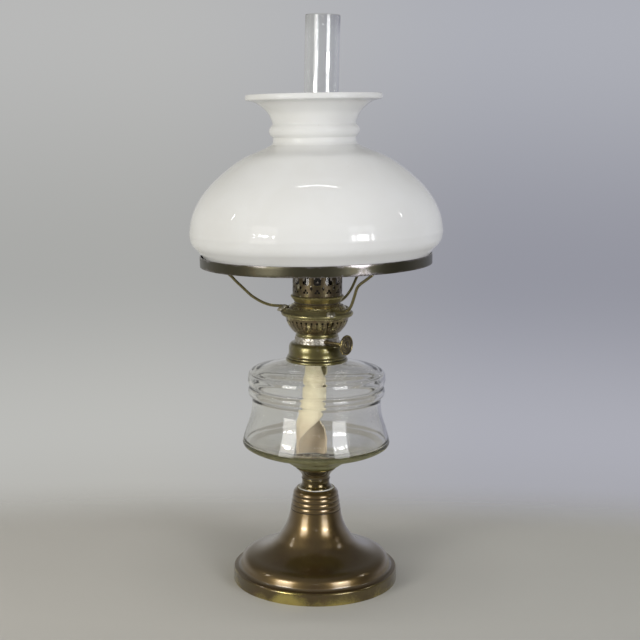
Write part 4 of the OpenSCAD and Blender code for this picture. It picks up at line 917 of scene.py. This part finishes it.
def makeWick():
    across, heights = np.linspace(0, 1, 49), np.linspace(wick["foot"] + 0.3, wick["top"], 150)
    grid = wickPoints(across, heights)
    corner = 10.0  # the tape's foot is cut round at both corners
    fromEdge = np.minimum(across, 1 - across) * wick["width"]
    lift = np.where(fromEdge < corner, corner - np.sqrt(np.maximum(corner**2 - (corner - fromEdge) ** 2, 0)), 0)
    z = heights[:, None] + lift[None, :] * np.clip(1 - (heights[:, None] - heights[0]) / 30, 0, 1)
    moved = wickPoints(across, heights)
    for column in range(len(across)):
        moved[:, column] = wickPoints(across[column : column + 1], z[:, column])[:, 0]
    grid = moved
    piece = meshPiece("wickTape", grid.reshape(-1, 3), [gridFaces(len(heights), len(across), False, False)], wickCotton)
    u, v = np.meshgrid(across * wick["width"] * mm, (heights - wick["foot"]) * mm)
    corners = np.zeros(len(piece.data.loops), np.int32)
    piece.data.loops.foreach_get("vertex_index", corners)
    flat = np.stack([u.ravel(), v.ravel()], 1)[corners]
    piece.data.uv_layers.new(name="tape").data.foreach_set("uv", flat.astype(np.float32).ravel())
    solid = piece.modifiers.new("thickness", "SOLIDIFY")
    solid.thickness, solid.offset = wick["thickness"] * mm, 0.0
    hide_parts("wick")
    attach(piece, "wick_tape")
    return piece


def cottonFinish():
    # plain weave of twisted yarns on the tape's own map, and an oily, darker foot
    material, tree, shader, _ = newFinish("wickCotton")
    flat = addNode(tree, "ShaderNodeUVMap", uv_map="tape").outputs[0]
    place = addNode(tree, "ShaderNodeTexCoord").outputs["Object"]
    split = addNode(tree, "ShaderNodeSeparateXYZ", {0: flat})
    warp = mathNode(tree, "SINE", mathNode(tree, "MULTIPLY", split.outputs[0], 2 * math.pi / 0.0016))
    weft = mathNode(tree, "SINE", mathNode(tree, "MULTIPLY", split.outputs[1], 2 * math.pi / 0.0019))
    weave = mathNode(tree, "MULTIPLY", warp, weft)
    fluff = noise(tree, place, 0.0009, 4.0, 0.6)
    stains = remap(tree, noise(tree, place, 0.018, 4.0, 0.55), 0.4, 0.7)
    colour = mixColour(tree, stains, (0.68, 0.63, 0.45), (0.56, 0.49, 0.335))
    height = addNode(tree, "ShaderNodeSeparateXYZ", {0: place}).outputs[2]
    soaked = remap(tree, height, 0.150, 0.196, 1.0, 0.0)
    inside = addNode(tree, "ShaderNodeNewGeometry").outputs["Backfacing"]
    colour = mixColour(tree, mathNode(tree, "MULTIPLY", soaked, 0.8), colour, (0.46, 0.37, 0.27))
    colour = mixColour(tree, remap(tree, weave, -1.0, 1.0, 0.0, 0.22), colour, (0.36, 0.29, 0.20))
    tree.links.new(colour, shader.inputs["Base Color"])
    shader.inputs["Roughness"].default_value = 0.88
    shader.inputs["Sheen Weight"].default_value = 0.25
    normal = bump(tree, fluff, 0.35, 0.0004, bump(tree, weave, 0.5, 0.0003))
    tree.links.new(normal, shader.inputs["Normal"])
    tree.nodes.remove(inside.node)
    return material


wickCotton = cottonFinish()
makeWick()
print("wick made")

# ---- chimney -----------------------------------------------------------------

chimney = {"foot": 304.2, "height": 285.4, "base": 24.2, "baseHeight": 25.0, "pinch": 15.6, "radius": 17.65, "wall": 1.8, "lean": 0.65}


def makeChimney():
    z, b, h, p, r = chimney["foot"], chimney["base"], chimney["baseHeight"], chimney["pinch"], chimney["radius"]
    line = np.vstack([
        [(b, z)],
        smoothLine([(b, z + h), (b - 1.1, z + h + 3), (p + 3.4, z + h + 7.4), (p + 0.6, z + h + 10.8), (p, z + h + 14), (p + 0.5, z + h + 19), (r - 0.4, z + h + 27), (r, z + h + 36)], 4),
        np.stack([np.full(10, r), np.linspace(z + h + 60, z + chimney["height"], 10)], 1),
    ])
    outline = rounded(np.vstack([line, besideLine(line, chimney["wall"])[::-1]]), 0.7)
    shape = lambda points: leaned(wavy(8, 0.06, z + 4, z + chimney["height"] + 9, 0.3)(points), z, chimney["lean"])
    piece = turned("chimneyTube", outline, chimneyGlass, sides=128, shape=shape, sharpAngle=60)
    piece.visible_shadow = False
    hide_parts("chimney")
    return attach(piece, "chimney_glass")


makeChimney()
print("chimney made")

# ---- shade holder ------------------------------------------------------------

holder = {
    "hubZ": 284.8, "hub": 37.8, "hubHeight": 8.4, "hubBore": 31.6, "ringZ": 338.8, "ledgeZ": 339.8, "ringRadius": 120.0,
    "ringHeight": 10.7, "ringWall": 1.2, "ledge": 8.0, "lean": -1.5, "wire": 1.5,
    "armShape": [(0, 0), (0.1, 0), (0.19, 0.018), (0.286, 0.078), (0.373, 0.168), (0.449, 0.272), (0.535, 0.432), (0.627, 0.603), (0.68, 0.715), (0.755, 0.83), (0.84, 0.915), (0.925, 0.97), (1, 1)],
    "frontShape": [(0, 0), (0.15, 0), (0.28, 0.02), (0.36, 0.065), (0.436, 0.142), (0.504, 0.28), (0.57, 0.475), (0.63, 0.65), (0.71, 0.75), (0.8, 0.825), (0.9, 0.91), (1, 1)],
}


def makeHub():
    # pressed cone with a small step at its top and a rolled rim
    z, r, bore = holder["hubZ"], holder["hub"], holder["hubBore"]
    cone = smoothLine([
        (bore + 0.5, z + 8.35), (bore + 1.1, z + 8.3), (bore + 1.8, z + 8.05), (bore + 2.3, z + 7.45), (bore + 2.6, z + 6.95), (bore + 3.2, z + 6.35), (r - 1.9, z + 4.7),
    ], 4)
    rim = smoothLine([(r - 1.3, z + 4.2), (r - 0.55, z + 3.8), (r - 0.05, z + 2.9), (r - 0.05, z + 2.0), (r - 0.5, z + 1.0), (r - 1.2, z + 0.25), (r - 1.8, z + 0.1)], 4)
    under = [(r - 2.1, z + 0.5), (r - 1.5, z + 1.6), (r - 1.5, z + 2.5), (r - 2.3, z + 3.4), (bore, z + 7.2)]
    outline = np.vstack([[(bore, z + 8.2)], cone, rim, under])
    piece = turned("hubPressed", rounded(outline, 0.2), holderBrass, sides=160, shape=wavy(21, 0.08), reach=0.9)
    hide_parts("holder_hub")
    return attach(piece, "shade_holder")


def armRoute(angle, shape):
    footR, footZ = holder["hubBore"] + 1.6, holder["hubZ"] + holder["hubHeight"] + 0.8
    tipR = holder["ringRadius"] - holder["ringWall"] - holder["ledge"] / 2
    tipZ = holder["ledgeZ"] - holder["wire"]
    share = smoothLine(shape, 4)
    r, a = footR + (tipR - footR) * share[:, 0], math.radians(angle)
    upright = np.stack([r * math.cos(a), r * math.sin(a), footZ + (tipZ - footZ) * share[:, 1]], 1)
    moved = leaned(upright, holder["hubZ"], holder["lean"])
    return upright + ease(0, 1, share[:, :1]) * (moved - upright)


def makeArms():
    rows = [("Left", "left", 178, "armShape"), ("Front", "front", -62, "frontShape"), ("Back", "back", 57, "armShape")]
    for label, node, angle, shape in rows:
        piece = tube("arm" + label, armRoute(angle, holder[shape]), holder["wire"], holderBrass)
        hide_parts("holder_arm_" + node)
        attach(piece, "shade_holder")


def blob(name, place, size, tilt, seed):
    # ball stretched to the size, with its radius changed by slow waves, and tipped outwards by tilt degrees
    u, v = np.meshgrid(np.arange(36) * 2 * math.pi / 36, np.linspace(0, math.pi, 19)[1:-1])
    lumps = 1 + 0.10 * np.sin(3 * u + seed) * np.sin(2 * v) + 0.07 * np.sin(5 * u - 2 * seed) * np.sin(3 * v + seed)
    ball = np.stack([np.sin(v) * np.cos(u), np.sin(v) * np.sin(u), np.cos(v)], -1) * lumps[..., None]
    points = np.vstack([ball.reshape(-1, 3), [[0, 0, 1], [0, 0, -1]]]) * np.array(size)
    angle = math.atan2(place[1], place[0])
    c, s = math.cos(math.radians(tilt)), math.sin(math.radians(tilt))
    x, z = points[:, 0] * c + points[:, 2] * s, -points[:, 0] * s + points[:, 2] * c
    points = np.stack([x * math.cos(angle) - points[:, 1] * math.sin(angle), x * math.sin(angle) + points[:, 1] * math.cos(angle), z], 1)
    k, rows = np.arange(36), 17
    faces = [
        gridFaces(rows, 36, False, True)[:, ::-1],
        np.stack([k * 0 + rows * 36, k, (k + 1) % 36], -1),
        np.stack([k * 0 + rows * 36 + 1, (rows - 1) * 36 + (k + 1) % 36, (rows - 1) * 36 + k], -1),
    ]
    piece = meshPiece(name, points + np.array(place), faces, solder)
    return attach(piece, "shade_holder")


def makeRing():
    # upright band with an inner ledge, its corners worn round
    r, z, w = holder["ringRadius"], holder["ringZ"], holder["ringWall"]
    ledge, high = holder["ledgeZ"], z + holder["ringHeight"]
    outline = [
        (r - w - holder["ledge"], ledge), (r - w, ledge), (r - w, z), (r, z), (r, z + 3), (r, high - 3), (r, high),
        (r - w, high), (r - w, ledge + w), (r - w - holder["ledge"], ledge + w),
    ]

    def used(points):
        turn, radius = np.arctan2(points[:, 1], points[:, 0]), np.hypot(points[:, 0], points[:, 1])
        band = np.clip((radius - (r - 2)) / 1, 0, 1)
        grown = 1 + band * wave(turn, points[:, 2], 31, 0.22, 0.4) / radius
        points = points * np.stack([grown, grown, np.ones_like(grown)], 1)
        return leaned(points, holder["hubZ"], holder["lean"])

    piece = turned("ringBand", rounded(outline, 0.42, least=30), ringBrass, sides=256, shape=used, reach=0.8)
    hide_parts("holder_ring")
    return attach(piece, "shade_holder")


makeHub()
makeArms()
makeRing()
blob("solderLeft", (-35.8, 1.2, 291.6), (6.0, 5.0, 2.8), 28, 1.0)
blob("solderFront", (13.9, -33.2, 290.2), (4.4, 4.6, 2.3), 30, 2.3)
blob("solderBack", (18.9, 29.0, 292.0), (4.2, 3.6, 2.0), 30, 4.1)
print("shade holder made")

# ---- shade -------------------------------------------------------------------

shade = {
    "foot": 341.15, "fitter": 117.0, "radius": 130.7, "height": 170.4, "neck": 42.5, "bead": 46.4, "rim": 69.8, "wall": 3.8,
    "belly": 31.2, "slip": 0.7,
    "dome": [(0, 0), (0.03, 0.18), (0.115, 0.365), (0.257, 0.546), (0.466, 0.727), (0.68, 0.865), (0.88, 0.945), (1, 1)],
    "flare": [(0, 0), (0.05, 0.13), (0.2, 0.4), (0.56, 0.69), (0.8, 0.768), (0.92, 0.788), (0.99, 0.81), (1.014, 0.86), (1.008, 0.945), (0.975, 1.0)],
}


def makeShade():
    z, f, r, n, b = shade["foot"], shade["fitter"], shade["radius"], shade["neck"], shade["bead"]
    dome = shade["height"] - 50.4
    line = np.vstack([
        [(f, z), (f + 0.2, z + 7)],
        smoothLine([(f + 0.2, z + 7), (f + 1.8, z + 10), (f + 0.45 * (r - f), z + 14.8), (f + 0.74 * (r - f), z + 19), (r - 1.1, z + 24), (r, z + shade["belly"])], 4)[1:],
        smoothLine(stretched(shade["dome"], (r, z + shade["belly"]), (n + 1.8, z + dome)), 6)[1:],
        smoothLine([
            (n + 0.2, z + dome + 2.2), (n, z + dome + 5.4), (n + 0.15, z + dome + 7.3), (n + 1.2, z + dome + 8.3), (b - 0.9, z + dome + 10.4), (b, z + dome + 13.9),
            (b - 0.9, z + dome + 17.4), (n + 1.2, z + dome + 19.5), (n + 0.3, z + dome + 20.5), (n + 0.1, z + dome + 21.6),
        ], 4),
        smoothLine(stretched(shade["flare"], (n + 0.1, z + dome + 21.6), (shade["rim"], z + shade["height"])), 5)[1:],
    ])
    outline = rounded(np.vstack([line, besideLine(line, shade["wall"])[::-1]]), 1.1, steps=5)

    def blown(points):
        points = wavy(41, 0.16, z + 9, z + shade["height"] + 9, 0.25)(points)
        return leaned(points + np.array([shade["slip"], 0, 0]), holder["hubZ"], holder["lean"])

    piece = turned("shadeOpal", outline, opalGlass, sides=256, shape=blown, sharpAngle=60)
    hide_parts("shade")
    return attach(piece, "shade_glass")


makeShade()
print("shade made")

# ---- the end -----------------------------------------------------------------

print("scene made")
